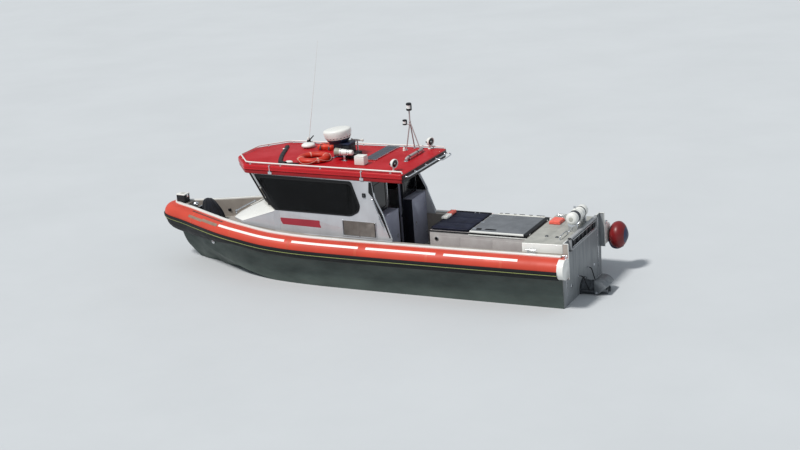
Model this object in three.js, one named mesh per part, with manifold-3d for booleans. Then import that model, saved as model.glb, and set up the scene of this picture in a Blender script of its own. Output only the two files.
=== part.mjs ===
// Inshore rescue boat: aluminium hull with an orange buoyant collar, a wheelhouse with a red roof,
// an engine box in the cockpit and one waterjet. Millimetres.
// X runs to the bow, Y to port and Z up. The origin is on the centreline, at the waterplane, amidships.
import * as THREE from "three";
import { mergeVertices } from "three/addons/utils/BufferGeometryUtils.js";
import Module from "manifold-3d";

const wasm = await Module();
wasm.setup();

// Driving dimensions
const FIT = 0.4; // gap between pieces that touch
const TRANSOM_X = -5050;
const COLLAR_END_X = -5170; // the collar runs on past the transom
const SIDE_DECK_Z = 1100; // top of the hull along the cabin and the cockpit
const SOLE_Z = 450; // floor of the cabin and the cockpit
const FOREDECK_Z = 880;
const SILL_Z = 1600; // lower edge of the cabin windows
const ROOF_UNDER_Z = 2400;
const ROOF_TOP_Z = 2600;
const BULKHEAD_X = -800; // aft face of the cabin
const WALL = 45; // thickness of the cabin walls
const CABIN_AFT_Y = 1080; // outer half breadth of the cabin at the bulkhead
const CABIN_FRONT_Y = 990; // and at the foot of the front pillars
const PILLAR_X = 1650;
const BOW_WELL_X = 2984; // aft wall of the well in the foredeck
const SCREEN_X = 2250; // foot of the middle windscreen pane
const SCREEN_Y = 400;
const RAKE = 460; // how far the windscreen leans forward from its foot to its head
const DOOR_HALF = 350;
const ENGINE_BOX = { aft: -4100, front: -1900, half: 630, top: 1280, wall: 30 };
const HATCH_FRONT_X = -2820;
const STERN_DECK = { front: -4150, half: 1050, top: 1300 };
const JET_Z = 60; // height of the jet's axis

// Hull stations from the transom to the stem
// x, keel z, chine y, chine z, sheer y, sheer z
const STATIONS = [
  [TRANSOM_X, -500, 1140, -70, 1200, SIDE_DECK_Z],
  [-2600, -520, 1170, -60, 1240, SIDE_DECK_Z],
  [500, -520, 1170, -60, 1240, SIDE_DECK_Z],
  [1650, -500, 1090, 0, 1225, 1145],
  [2500, -430, 940, 120, 1125, 1232],
  [3000, -350, 780, 220, 985, 1266],
  [3800, -210, 470, 400, 600, 1277],
  [4300, -60, 240, 540, 360, 1288],
  [4700, 265, 90, 660, 200, 1300],
  [4820, 440, 50, 740, 150, 1306],
  [4900, 700, 25, 850, 105, 1310],
];

// Colours, as seen in daylight
const ORANGE = 0xe8542a;
const RED = 0xc23038;
const WHITE = 0xe6e7e4;
const DECK_GREY = 0xaeb2b0;
const ALUMINIUM = 0x9aa0a6;
const DARK = 0x2a2d31;
const NAVY = 0x1f2a3f;
const GLASS = 0x15191d;
const BARE_METAL = 0xb9bcc0;

const paint = (color) => new THREE.MeshStandardMaterial({ color, roughness: 0.45, metalness: 0 });
const metal = (color) => new THREE.MeshStandardMaterial({ color, roughness: 0.35, metalness: 0.9 });
const rubber = (color) => new THREE.MeshStandardMaterial({ color, roughness: 0.8, metalness: 0 });
const tinted = () => new THREE.MeshStandardMaterial({ color: GLASS, roughness: 0.08, metalness: 0 });

// Solids and geometry
function toSolid(geometry) {
  const bare = geometry.clone();
  bare.deleteAttribute("normal");
  bare.deleteAttribute("uv");
  const merged = mergeVertices(bare, 1e-3);
  return new wasm.Manifold(
    new wasm.Mesh({
      numProp: 3,
      vertProperties: merged.attributes.position.array,
      triVerts: new Uint32Array(merged.index.array),
    }),
  );
}

function toGeometry(solid) {
  const { vertProperties, triVerts } = solid.getMesh();
  const geometry = new THREE.BufferGeometry();
  geometry.setAttribute("position", new THREE.BufferAttribute(vertProperties, 3));
  geometry.setIndex(new THREE.BufferAttribute(triVerts, 1));
  geometry.computeVertexNormals();
  return geometry;
}

const join = (...pieces) => toGeometry(pieces.map(toSolid).reduce((a, b) => a.add(b)));
const cut = (body, ...tools) => toGeometry(tools.map(toSolid).reduce((a, b) => a.subtract(b), toSolid(body)));

function block([x0, x1], [y0, y1], [z0, z1]) {
  const box = new THREE.BoxGeometry(x1 - x0, y1 - y0, z1 - z0);
  return box.translate((x0 + x1) / 2, (y0 + y1) / 2, (z0 + z1) / 2);
}

// A closed skin through loops of equal point count; flatten gives the plane in which the ends are filled.
function loft(loops, flatten) {
  const count = loops[0].length;
  const index = [];
  loops.slice(1).forEach((_, row) => {
    for (let i = 0; i < count; i++) {
      const a = row * count + i;
      const b = row * count + ((i + 1) % count);
      index.push(a, b, a + count, b, b + count, a + count);
    }
  });
  for (const row of [0, loops.length - 1]) {
    const flat = loops[row].map(flatten);
    const turned = THREE.ShapeUtils.isClockWise(flat) === row > 0;
    for (const [a, b, c] of THREE.ShapeUtils.triangulateShape(flat, [])) {
      index.push(...(turned ? [a, c, b] : [a, b, c]).map((v) => v + row * count));
    }
  }
  const geometry = new THREE.BufferGeometry();
  const position = loops.flat().flatMap((p) => [p.x, p.y, p.z]);
  geometry.setAttribute("position", new THREE.Float32BufferAttribute(position, 3));
  geometry.setIndex(index);
  return toOutward(geometry);
}

// Turns a closed skin round if its faces point inwards.
function toOutward(geometry) {
  if (toSolid(geometry).volume() > 0) return geometry;
  const index = geometry.index ? [...geometry.index.array] : [...geometry.attributes.position.array.keys()];
  const count = geometry.index ? index.length : geometry.attributes.position.count;
  const turned = index.slice(0, count);
  for (let i = 0; i < count; i += 3) [turned[i + 1], turned[i + 2]] = [turned[i + 2], turned[i + 1]];
  return geometry.clone().setIndex(turned);
}

const vec = (x, y, z) => new THREE.Vector3(x, y, z);
const acrossX = (p) => new THREE.Vector2(p.y, p.z);
const acrossZ = (p) => new THREE.Vector2(p.x, p.y);
const outline = (points) => new THREE.Shape(points.map(([x, y]) => new THREE.Vector2(x, y)));

// An outline with its corners rounded by arcs of one radius.
function rounded(points, radius) {
  const shape = new THREE.Shape();
  points.forEach((point, i) => {
    const corner = new THREE.Vector2(...point);
    const before = new THREE.Vector2(...points.at(i - 1)).sub(corner).setLength(radius).add(corner);
    const after = new THREE.Vector2(...points[(i + 1) % points.length]).sub(corner).setLength(radius).add(corner);
    if (i) shape.lineTo(before.x, before.y);
    else shape.moveTo(before.x, before.y);
    shape.quadraticCurveTo(corner.x, corner.y, after.x, after.y);
  });
  shape.closePath();
  return shape;
}

const slab = (shape, z0, z1, curveSegments = 4) =>
  new THREE.ExtrudeGeometry(shape, { depth: z1 - z0, bevelEnabled: false, curveSegments }).translate(0, 0, z0);

// A plate whose outline is drawn in X and Z, between two values of Y.
const upright = (shape, y0, y1, curveSegments = 4) =>
  new THREE.ExtrudeGeometry(shape, { depth: y1 - y0, bevelEnabled: false, curveSegments })
    .rotateX(Math.PI / 2)
    .translate(0, y1, 0);

// A plate whose outline is drawn in Y and Z, between two values of X.
const standing = (shape, x0, x1, curveSegments = 4) =>
  new THREE.ExtrudeGeometry(shape, { depth: x1 - x0, bevelEnabled: false, curveSegments })
    .applyMatrix4(new THREE.Matrix4().makeBasis(vec(0, 1, 0), vec(0, 0, 1), vec(1, 0, 0)))
    .translate(x0, 0, 0);

// A turned solid; the profile gives radius and height, and the axis is Y.
function lathe(profile, segments) {
  return toOutward(new THREE.LatheGeometry(profile.map(([r, h]) => new THREE.Vector2(r, h)), segments));
}

function tube(points, radius, steps, sides = 5) {
  const path = new THREE.CatmullRomCurve3(points, false, "centripetal");
  const shape = new THREE.Shape().absarc(0, 0, radius, 0, 2 * Math.PI);
  return new THREE.ExtrudeGeometry(shape, { steps, bevelEnabled: false, extrudePath: path, curveSegments: sides });
}

function rod(from, to, radius, sides = 10) {
  const along = to.clone().sub(from);
  const turn = new THREE.Quaternion().setFromUnitVectors(vec(0, 1, 0), along.clone().normalize());
  const middle = from.clone().add(to).multiplyScalar(0.5);
  return new THREE.CylinderGeometry(radius, radius, along.length(), sides)
    .applyQuaternion(turn)
    .translate(middle.x, middle.y, middle.z);
}

const boat = new THREE.Group();
function add(name, geometry, material, parent = boat) {
  const mesh = new THREE.Mesh(geometry, material);
  mesh.name = name;
  parent.add(mesh);
  return mesh;
}

// Both copies of a piece that is drawn on the port side, and mirrored to starboard.
function addPair(name, geometry, material, parent = boat) {
  add(name + "_port", geometry, material, parent);
  add(name + "_starboard", geometry, material.clone(), parent).scale.y = -1;
}

const toStarboard = (geometry) => toOutward(geometry.clone().scale(1, -1, 1));

// Hull
function hullSkin(grow) {
  const loops = STATIONS.map(([x, keelZ, chineY, chineZ, sheerY, sheerZ], i) => {
    const at = x + (i === STATIONS.length - 1 ? grow : 0);
    return [
      vec(at, 0, keelZ - grow),
      vec(at, chineY + grow, chineZ - grow),
      vec(at, sheerY + grow, sheerZ + grow),
      vec(at, 0, sheerZ + grow),
    ];
  });
  const half = loft(loops, acrossX);
  return join(half, toStarboard(half));
}

// Half breadth and height of the sheer at a distance forward.
function sheerAt(x) {
  const next = Math.max(1, STATIONS.findIndex(([stationX]) => stationX >= x));
  const [aft, front] = [STATIONS[next - 1], STATIONS[next]];
  const t = (x - aft[0]) / (front[0] - aft[0]);
  return { y: aft[4] + t * (front[4] - aft[4]), z: aft[5] + t * (front[5] - aft[5]) };
}

// The windscreen's foot and the cabin's inner side in plan, port half, drawn from aft.
const cabinInner = (aft) => [
  [aft, CABIN_AFT_Y - WALL],
  [PILLAR_X, CABIN_FRONT_Y - WALL],
  [SCREEN_X - WALL / 2, SCREEN_Y - WALL / 2],
];
const mirrored = (half) => [...half, ...half.map(([x, y]) => [x, -y]).reverse()];

// Half breadth of the hull's side between chine and sheer
function sideAt(x, z) {
  const next = Math.max(1, STATIONS.findIndex(([stationX]) => stationX >= x));
  const t = (x - STATIONS[next - 1][0]) / (STATIONS[next][0] - STATIONS[next - 1][0]);
  const between = STATIONS[next - 1].map((v, k) => v + t * (STATIONS[next][k] - v));
  const [, , chineY, chineZ, sheerY, sheerZ] = between;
  return chineY + ((z - chineZ) / (sheerZ - chineZ)) * (sheerY - chineY);
}

const COCKPIT_AFT_X = ENGINE_BOX.aft - 20;
const ABOVE = 1700; // a height over all decks, where cutters end
// Half breadth of the bow well at its floor and at its rim, at distances forward
const BOW_WELL = [BOW_WELL_X, 3000, 3800, 4300, 4560].map((x) => ({
  x,
  floor: sideAt(x, FOREDECK_Z) - 65,
  rim: sheerAt(x).y - 100,
}));

function makeWholeHull() {
  const cockpitPlan = [[COCKPIT_AFT_X, CABIN_AFT_Y - WALL], ...cabinInner(BULKHEAD_X)];
  const engineWell = block([-3900, -2200], [-450, 450], [-150, SOLE_Z + 10]);
  const bowLoop = (part, z) => mirrored(BOW_WELL.map((at) => [at.x, at[part]])).map(([x, y]) => vec(x, y, z));
  const bowWell = loft([bowLoop("floor", FOREDECK_Z), bowLoop("rim", 1320), bowLoop("rim", ABOVE)], acrossZ);
  return cut(hullSkin(0), slab(outline(mirrored(cockpitPlan)), SOLE_Z, ABOVE), bowWell, engineWell);
}

// The space that holds the port topside: beside the cockpit and cabin, beside the trunk, and at the bow
function topsideSpace(grow) {
  const trunkSide = 850;
  return join(
    block([COCKPIT_AFT_X - grow, PILLAR_X + grow], [-grow, 1400], [SOLE_Z - grow, ABOVE]),
    block([PILLAR_X - 10, BOW_WELL_X], [trunkSide - grow, 1400], [FOREDECK_Z - grow, ABOVE]),
    block([BOW_WELL_X - 10 - grow, 5000], [-grow, 1400], [FOREDECK_Z - grow, ABOVE]),
  );
}
const makeHull = () => cut(makeWholeHull(), topsideSpace(0), toStarboard(topsideSpace(0)));
function makeTopside() {
  const whole = toSolid(makeWholeHull());
  return toGeometry(whole.intersect(toSolid(topsideSpace(-FIT))));
}

// The sheer from the transom to the nose, port side
const SHEER_PATH = [
  ...STATIONS.slice(0, -2).map(([x, , , , y, z]) => vec(x, y, z)),
  vec(4830, 142, 1307),
  vec(4920, 78, 1310),
  vec(4950, 0, 1312),
];

// A strip that follows the sheer round the bow. Its section is drawn outwards and upwards from the sheer's edge.
function sheerStrip(section, aft) {
  const half = [vec(aft, SHEER_PATH[0].y, SHEER_PATH[0].z), ...SHEER_PATH.slice(1)];
  const path = [...half, ...half.slice(0, -1).reverse().map((p) => vec(p.x, -p.y, p.z))];
  const loops = path.map((point, i) => {
    const ahead = path[Math.min(i + 1, path.length - 1)].clone().sub(path[Math.max(i - 1, 0)]);
    const out = i === 0 ? vec(0, 1, 0) : i === path.length - 1 ? vec(0, -1, 0) : vec(-ahead.y, ahead.x, 0).normalize();
    return section.map(([outward, up]) => point.clone().addScaledVector(out, outward).add(vec(0, 0, up)));
  });
  return loft(loops, acrossX);
}

const COLLAR = { out: 280, tall: 430, middleOut: 60 };
// A point of the collar's round face in its section, at an angle over the horizontal
function collarPoint(degrees, grow) {
  const a = THREE.MathUtils.degToRad(degrees);
  return [
    COLLAR.middleOut + (COLLAR.out - COLLAR.middleOut + grow) * Math.cos(a),
    -COLLAR.tall / 2 + (COLLAR.tall / 2 + grow) * Math.sin(a),
  ];
}

function collarSection(grow) {
  const face = [80, 55, 30, 0, -30, -55, -80].map((degrees) => collarPoint(degrees, grow));
  return [[-80, -8 + grow], ...face, [-100, -COLLAR.tall - grow]];
}

function makeCollar() {
  return cut(sheerStrip(collarSection(0), COLLAR_END_X), hullSkin(FIT));
}

// The strake covers the lower half of the collar's face.
function makeStrake() {
  const thick = 24;
  const face = [-7, -26, -45, -64].map((degrees) => collarPoint(degrees, thick));
  const strake = [...face, collarPoint(-64, -30), collarPoint(-7, -30)];
  return cut(sheerStrip(strake, COLLAR_END_X + 5), sheerStrip(collarSection(FIT), COLLAR_END_X - 5));
}

const CAP = { inner: -75, outer: 6, top: 26 };
const capStrip = (grow) =>
  sheerStrip(
    [
      [CAP.inner - grow, -10],
      [CAP.inner - grow, CAP.top + grow],
      [CAP.outer + grow, CAP.top + grow],
      [CAP.outer + grow, -10],
    ],
    TRANSOM_X,
  );
// The port half of the cap, which meets the other half at the bow
function makeCap() {
  const starboard = block([TRANSOM_X - 100, 5200], [-1500, FIT / 2], [900, 1500]);
  return cut(capStrip(0), hullSkin(FIT), sheerStrip(collarSection(FIT), TRANSOM_X - 10), starboard);
}

// Foredeck
function makeHood() {
  // x, half breadth and the height at which the sloping top begins
  const outer = [
    [PILLAR_X - 20, 1035, 1590],
    [2500, 1010, 1312],
    [2860, 760, 1300],
    [2950, 380, 1300],
  ];
  const top = [
    [PILLAR_X - 20, CABIN_FRONT_Y + 20],
    [2010, 720],
    [2270, 470],
    [2330, 320],
  ];
  const inner = [
    [PILLAR_X - 20, CABIN_FRONT_Y - WALL],
    [SCREEN_X - WALL / 2, SCREEN_Y - WALL / 2],
  ];
  const port = (half, heightOf) => [[...inner[0], 1590], ...half].map(([x, y, z]) => vec(x, y, heightOf(z)));
  const loop = (half) => [...half, ...half.map((p) => vec(p.x, -p.y, p.z)).reverse()];
  const rows = [port(outer, () => 900), port(outer, (z) => z), port(top, () => SILL_Z - FIT)];
  const body = loft(rows.map(loop), acrossZ);
  const cabin = slab(outline(mirrored([[0, inner[0][1] + 1], ...inner])), 500, 2000);
  const corner = block([0, PILLAR_X + FIT], [-1200, 1200], [500, 2000]);
  return cut(body, cabin, corner, hullSkin(FIT));
}

function makeHoodRail() {
  const x = 3040;
  const half = [[BOW_WELL_X, 420, 1170], [x - 10, 420, 1200], [x, 410, 1280], [x, 380, 1310]].map((p) => vec(...p));
  const other = half.map((p) => vec(p.x, -p.y, p.z)).reverse();
  const feet = [420, -420].map((y) => block([BOW_WELL_X, BOW_WELL_X + 14], [y - 35, y + 35], [1130, 1210]));
  const wall = block([2800, BOW_WELL_X + FIT], [-900, 900], [1000, 1500]);
  return cut(join(tube([...half, vec(x, 0, 1316), ...other], 15, 28), ...feet), wall);
}

// Cabin
const WALL_TURN = Math.atan2(CABIN_AFT_Y - CABIN_FRONT_Y, PILLAR_X - BULKHEAD_X);
// Side wall in X and Z, with the wing that runs aft of the bulkhead
const WALL_OUTLINE = [
  [-1250, SIDE_DECK_Z + FIT],
  [PILLAR_X, SIDE_DECK_Z + FIT],
  [PILLAR_X, SILL_Z],
  [PILLAR_X + RAKE, ROOF_UNDER_Z - FIT],
  [-830, ROOF_UNDER_Z - FIT],
  [-870, 2050],
  [-1060, 1680],
];
const SIDE_WINDOW = [
  [-270, SILL_Z + 20],
  [1590, SILL_Z + 20],
  [1990, 2320],
  [-330, 2320],
  [-500, 1850],
  [-460, 1720],
];

function sideWindow(scale) {
  const middle = [700, 1970];
  const scaled = ([x, z]) => [middle[0] + (x - middle[0]) * scale, middle[1] + (z - middle[1]) * scale];
  return rounded(SIDE_WINDOW.map(scaled), 45);
}

// Turns a plate drawn along X so that the cabin narrows towards the bow.
function placeWall(geometry) {
  return geometry.translate(-BULKHEAD_X, -CABIN_AFT_Y, 0).rotateZ(-WALL_TURN).translate(BULKHEAD_X, CABIN_AFT_Y, 0);
}

function makeWall() {
  const plate = upright(rounded(WALL_OUTLINE, 12), CABIN_AFT_Y - WALL, CABIN_AFT_Y, 2);
  const opening = upright(sideWindow(1), CABIN_AFT_Y - WALL - 50, CABIN_AFT_Y + 50);
  return cut(placeWall(cut(plate, opening)), hullSkin(FIT));
}
const makeSideGlass = () => placeWall(upright(sideWindow(0.9985), CABIN_AFT_Y - 22, CABIN_AFT_Y - 12));

// Windscreen panes: foot and head of each corner, from port to starboard
const SCREEN_FEET = [
  [PILLAR_X + 12, CABIN_FRONT_Y - 22],
  [SCREEN_X, SCREEN_Y],
  [SCREEN_X, -SCREEN_Y],
  [PILLAR_X + 12, -CABIN_FRONT_Y + 22],
];
const SCREEN_HEADS = SCREEN_FEET.map(([x, y]) => [x + RAKE, y * 0.985]);
const PANES = ["port", "centre", "starboard"];

// Four corners of a part of one pane; side and head margins are fractions of the pane.
function paneQuad(i, margin) {
  const foot = (t) => SCREEN_FEET[i].map((v, k) => v + t * (SCREEN_FEET[i + 1][k] - v));
  const head = (t) => SCREEN_HEADS[i].map((v, k) => v + t * (SCREEN_HEADS[i + 1][k] - v));
  const at = (s, t) => {
    const [a, b] = [foot(s), head(s)];
    return vec(a[0] + t * (b[0] - a[0]), a[1] + t * (b[1] - a[1]), SILL_Z + t * (ROOF_UNDER_Z - SILL_Z));
  };
  return [at(margin, margin), at(1 - margin, margin), at(1 - margin, 1 - margin), at(margin, 1 - margin)];
}

function paneSlab(i, margin, depth0, depth1) {
  const quad = paneQuad(i, margin);
  const normal = quad[1].clone().sub(quad[0]).cross(quad[3].clone().sub(quad[0])).normalize();
  if (normal.x < 0) normal.negate();
  const loops = [depth0, depth1].map((depth) => quad.map((p) => p.clone().addScaledVector(normal, depth)));
  return loft(loops, (p) => new THREE.Vector2(p.y, p.z));
}

function makeScreenFrame() {
  const thick = 40;
  const ring = (feet, z) => feet.map(([x, y]) => vec(x, y, z));
  const shift = (points, by) => points.map(([x, y]) => [x - by, y]);
  const outer = loft([ring([...SCREEN_FEET], SILL_Z + FIT), ring([...SCREEN_HEADS], ROOF_UNDER_Z - FIT)], acrossZ);
  const inner = loft(
    [ring(shift(SCREEN_FEET, thick + 12), SILL_Z - 10), ring(shift(SCREEN_HEADS, thick + 12), ROOF_UNDER_Z + 10)],
    acrossZ,
  );
  const panes = PANES.map((_, i) => paneSlab(i, 0.07, -150, 150));
  const walls = ["port", "starboard"].map((side) => {
    const plate = placeWall(upright(outline(WALL_OUTLINE), CABIN_AFT_Y - WALL - 1, CABIN_AFT_Y + 200));
    return side === "port" ? plate : toStarboard(plate);
  });
  return cut(outer, inner, ...panes, ...walls);
}

function makeBulkhead() {
  const inside = CABIN_AFT_Y - WALL - 1.2;
  const plate = outline([
    [-inside, SOLE_Z + FIT],
    [inside, SOLE_Z + FIT],
    [inside, ROOF_UNDER_Z - FIT],
    [-inside, ROOF_UNDER_Z - FIT],
  ]);
  plate.holes.push(outline([
    [-DOOR_HALF, SOLE_Z + 40],
    [DOOR_HALF, SOLE_Z + 40],
    [DOOR_HALF, 2270],
    [-DOOR_HALF, 2270],
  ]));
  const windows = [1, -1].map((side) => standing(bulkheadWindow(side, 1), BULKHEAD_X - 50, BULKHEAD_X + 50));
  const track = block([BULKHEAD_X, BULKHEAD_X + 60], [-1020, 400], [2310, 2350]);
  return join(cut(standing(plate, BULKHEAD_X - 20, BULKHEAD_X + 20), ...windows), track);
}

function bulkheadWindow(side, scale) {
  const middle = [side * 705, 1990];
  const corner = [[-260, -290], [260, -290], [260, 290], [-260, 290]];
  return rounded(corner.map(([y, z]) => [middle[0] + y * scale, middle[1] + z * scale]), 40);
}

const makeDoor = () => {
  const frame = outline([[-1015, 0], [-300, 0], [-300, 1850.6], [-1015, 1850.6]]);
  frame.holes.push(rounded([[-930, 1120], [-385, 1120], [-385, 1750], [-930, 1750]], 40));
  return standing(frame, BULKHEAD_X + 28, BULKHEAD_X + 58);
};

function makeLocker() {
  const along = [BULKHEAD_X - 250, BULKHEAD_X - 20 - FIT];
  return block(along, [DOOR_HALF - 15, CABIN_AFT_Y - WALL - FIT], [SOLE_Z + FIT, SILL_Z + 20]);
}

// Roof
const ROOF_PLAN = [
  [-1600, 1125],
  [2320, 1015],
  [2860, 395],
];
function roofBand(inset, z0, z1, bevel) {
  const [aft, side, front] = ROOF_PLAN;
  const half = [
    [aft[0] + inset, aft[1] - inset],
    [side[0] - inset / 2, side[1] - inset],
    [front[0] - inset, front[1] - inset / 2],
  ];
  const shape = rounded(mirrored(half), 60);
  if (!bevel) return slab(shape, z0, z1);
  return new THREE.ExtrudeGeometry(shape, {
    depth: z1 - z0 - bevel, bevelEnabled: true, bevelThickness: bevel, bevelSize: bevel * 1.6,
    bevelOffset: -bevel * 1.6, bevelSegments: 2, curveSegments: 4,
  }).translate(0, 0, z0);
}

function makeRoof() {
  const below = block([-3000, 4000], [-2000, 2000], [2300, ROOF_UNDER_Z + 90]);
  const top = cut(roofBand(0, ROOF_UNDER_Z + 90, ROOF_TOP_Z, 25), below);
  return join(roofBand(12, ROOF_UNDER_Z, ROOF_UNDER_Z + 80), roofBand(30, ROOF_UNDER_Z + 80, ROOF_UNDER_Z + 90), top);
}

// Rail that runs along both sides of the roof and across its front corners, on short posts
function makeRoofRail() {
  const z = ROOF_TOP_Z + 45;
  const half = [
    [-1560, 1060], [-1400, 1062], [-600, 1038], [400, 1010], [1400, 980], [2180, 955], [2300, 925],
    [2620, 560], [2770, 385],
  ];
  const points = [vec(-1575, 1055, ROOF_TOP_Z + FIT), ...half.map(([x, y]) => vec(x, y, z))];
  const other = points.map((p) => vec(p.x, -p.y, p.z)).reverse();
  const posts = mirrored([[-600, 1038], [400, 1010], [1400, 980], [2180, 955], [2620, 560]]).map(([x, y]) =>
    rod(vec(x, y, ROOF_TOP_Z + FIT), vec(x, y, z), 10, 8),
  );
  const under = block([-2000, 3000], [-1500, 1500], [2500, ROOF_TOP_Z + FIT]);
  return cut(join(tube([...points, ...other], 16, 70), ...posts), under);
}

function makeAftRail() {
  const x = -1655;
  const z = 2520;
  const half = [[-1600 - FIT, 960], [x + 10, 955], [x, 900]];
  const points = [...half, [x, 0], ...half.toReversed().map(([px, py]) => [px, -py])].map(([px, py]) => vec(px, py, z));
  const bar = tube(points, 14, 24);
  return cut(bar, block([-1600 - FIT, -1500], [-1200, 1200], [2400, 2600]));
}

// Gear on the roof, placed in a group that stands on the roof's top
const gear = new THREE.Group();
gear.position.z = ROOF_TOP_Z + FIT;
boat.add(gear);

const RADAR = { x: 460, base: 410, tilt: THREE.MathUtils.degToRad(6) }; // tilt: its front leans down
function makePedestal() {
  const legs = mirrored([[-20, 130], [545, 130]]).map(([x, y]) => block([x - 20, x + 20], [y - 20, y + 20], [0, 330]));
  const core = block([40, 540], [-110, 110], [0, 300]);
  const shelf = block([-50, 630], [-170, 170], [300, 350]);
  const wedge = new THREE.CylinderGeometry(170, 130, 80, 20)
    .rotateX(Math.PI / 2)
    .translate(0, 0, -40 - FIT)
    .rotateY(RADAR.tilt)
    .translate(RADAR.x, 0, RADAR.base);
  return join(core, shelf, wedge, ...legs);
}

function makeRadome() {
  const profile = [[0, 0], [235, 0], [295, 35], [310, 95], [308, 150], [285, 205], [235, 226], [0, 236]];
  return lathe(profile, 28).rotateX(Math.PI / 2).rotateY(RADAR.tilt);
}

function makeHailer() {
  const profile = [[0, -215], [60, -215], [70, -60], [72, 120], [88, 200], [88, 215], [0, 205]];
  const horn = lathe(profile, 20).rotateZ(-Math.PI / 2).translate(0, 0, 190);
  return join(horn, block([-30, 30], [-25, 25], [0, 180]), block([-60, 60], [-45, 45], [0, 12]));
}

function makeAntennaPost() {
  const post = rod(vec(0, 0, 0), vec(0, 0, 300), 14);
  const bar = rod(vec(-140, 0, 300), vec(140, 0, 300), 16);
  const foot = new THREE.CylinderGeometry(45, 45, 12, 16).rotateX(Math.PI / 2).translate(0, 0, 6);
  return join(post, bar, foot);
}

function makeFloodlight() {
  const stalk = rod(vec(0, 0, 0), vec(0, 0, 110), 18);
  const foot = new THREE.CylinderGeometry(42, 42, 12, 16).rotateX(Math.PI / 2).translate(0, 0, 6);
  const profile = [[0, -60], [45, -50], [95, 0], [100, 55], [92, 60], [0, 50]];
  const head = lathe(profile, 20).rotateZ(Math.PI / 2 - 0.3).rotateY(-0.1).translate(0, 0, 172);
  return join(stalk, foot, head);
}

function makeMast() {
  const head = vec(0, 0, 620);
  const feet = [[80, 100], [-260, 90], [-30, -90]];
  const legs = feet.map(([x, y]) => rod(vec(x, y, 8), head, 14));
  const pads = feet.map(([x, y]) => {
    return new THREE.CylinderGeometry(38, 38, 10, 12).rotateX(Math.PI / 2).translate(x, y, 5);
  });
  const pole = rod(vec(0, 0, 600), vec(0, 0, 900), 16);
  const lamp = new THREE.CylinderGeometry(62, 62, 170, 16).rotateX(Math.PI / 2).translate(0, 0, 955);
  const arm = rod(vec(0, 0, 560), vec(110, 0, 560), 12);
  const second = new THREE.CylinderGeometry(55, 55, 120, 16).rotateX(Math.PI / 2).translate(125, 0, 600);
  const bar = tube([vec(-260, 90, 5), vec(-300, 130, 50), vec(-340, 200, 62), vec(-350, 450, 66), vec(-350, 800, 66),
    vec(-345, 950, 55), vec(-340, 990, 10)], 34, 24, 6);
  const end = new THREE.CylinderGeometry(50, 50, 10, 12).rotateX(Math.PI / 2).translate(-340, 990, 5);
  return cut(join(...legs, ...pads, pole, lamp, arm, second, bar, end), block([-600, 300], [-300, 1300], [-100, 0]));
}

function makeLifebuoy() {
  const section = new THREE.Shape().absellipse(290, 62, 85, 62, 0, 2 * Math.PI);
  return lathe(section.getPoints(4).map((p) => [p.x, p.y]), 32).rotateX(Math.PI / 2);
}

const WHIP = { x: 1750, y: -900, pivot: 62, lean: 0.195 }; // it leans aft
function makeWhip() {
  const profile = [[0, 6 + FIT], [9, 6 + FIT], [9, 400], [5, 1400], [3, 2380], [0, 2380]];
  const rodShape = lathe(profile, 10).rotateX(Math.PI / 2);
  return rodShape.rotateY(-WHIP.lean).translate(0, 0, WHIP.pivot);
}

// Helm and seats
function makeConsole() {
  const side = outline([[1150, SOLE_Z + FIT], [1560, SOLE_Z + FIT], [1600, 1560], [1500, 1580], [1150, 1430]]);
  return upright(side, -900, 900);
}

const WHEEL_TILT = THREE.MathUtils.degToRad(20);
function makeWheel() {
  const rim = new THREE.TorusGeometry(170, 14, 10, 28);
  const hub = new THREE.CylinderGeometry(38, 38, 30, 16).rotateX(Math.PI / 2);
  const shaft = new THREE.CylinderGeometry(16, 16, 60, 12).rotateX(Math.PI / 2).translate(0, 0, -40);
  const spoke = (i) => rod(vec(0, 0, 0), vec(170, 0, 0), 10, 8).rotateZ(Math.PI / 2 + (i * 2 * Math.PI) / 3);
  const spokes = [0, 1, 2].map(spoke);
  return join(rim, hub, shaft, ...spokes);
}

function makeSeat() {
  const base = new THREE.CylinderGeometry(130, 150, 20, 20).rotateX(Math.PI / 2).translate(0, 0, 10);
  const post = new THREE.CylinderGeometry(60, 60, 400, 16).rotateX(Math.PI / 2).translate(0, 0, 215);
  const cushion = slab(rounded([[-230, -230], [240, -230], [240, 230], [-230, 230]], 60), 410, 520);
  const back = upright(rounded([[-240, 480], [-130, 480], [-200, 1150], [-310, 1150]], 40), -220, 220);
  return join(base, post, cushion, back);
}

// Cockpit and stern
function makeEngineBox() {
  const { aft, front, half, top, wall } = ENGINE_BOX;
  const outside = block([aft, front], [-half, half], [SOLE_Z + FIT, top]);
  const inside = block([aft + wall, front - wall], [-half + wall, half - wall], [0, top - wall]);
  const mouth = block([aft + wall, HATCH_FRONT_X - wall], [-half + wall, half - wall], [0, top + 10]);
  return cut(outside, inside, mouth);
}

function makeHatch() {
  const { aft, half, top } = ENGINE_BOX;
  const thick = 50;
  const plan = mirrored([[aft - 20, half + 15], [HATCH_FRONT_X, half + 15]]);
  return slab(rounded(plan, 25), top + FIT, top + thick);
}

function makeCushion() {
  const { front, half, top } = ENGINE_BOX;
  const plan = mirrored([[HATCH_FRONT_X + 25, half - 20], [front - 10, half - 20]]);
  return slab(rounded(plan, 40), top + FIT, top + 65);
}

function makeSternDeck() {
  const { front, half, top } = STERN_DECK;
  const plan = rounded([[TRANSOM_X, -half + 60], [front, -half], [front, half], [TRANSOM_X, half - 60]], 40);
  return slab(plan, SIDE_DECK_Z + FIT, top);
}

function makeTransomFrame() {
  const face = TRANSOM_X - FIT;
  const plate = block([face - 80, face], [-820, 820], [1110, 1385]);
  const slot = block([face - 90, face - 15], [-680, 680], [1170, 1325]);
  return cut(plate, slot);
}

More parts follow.
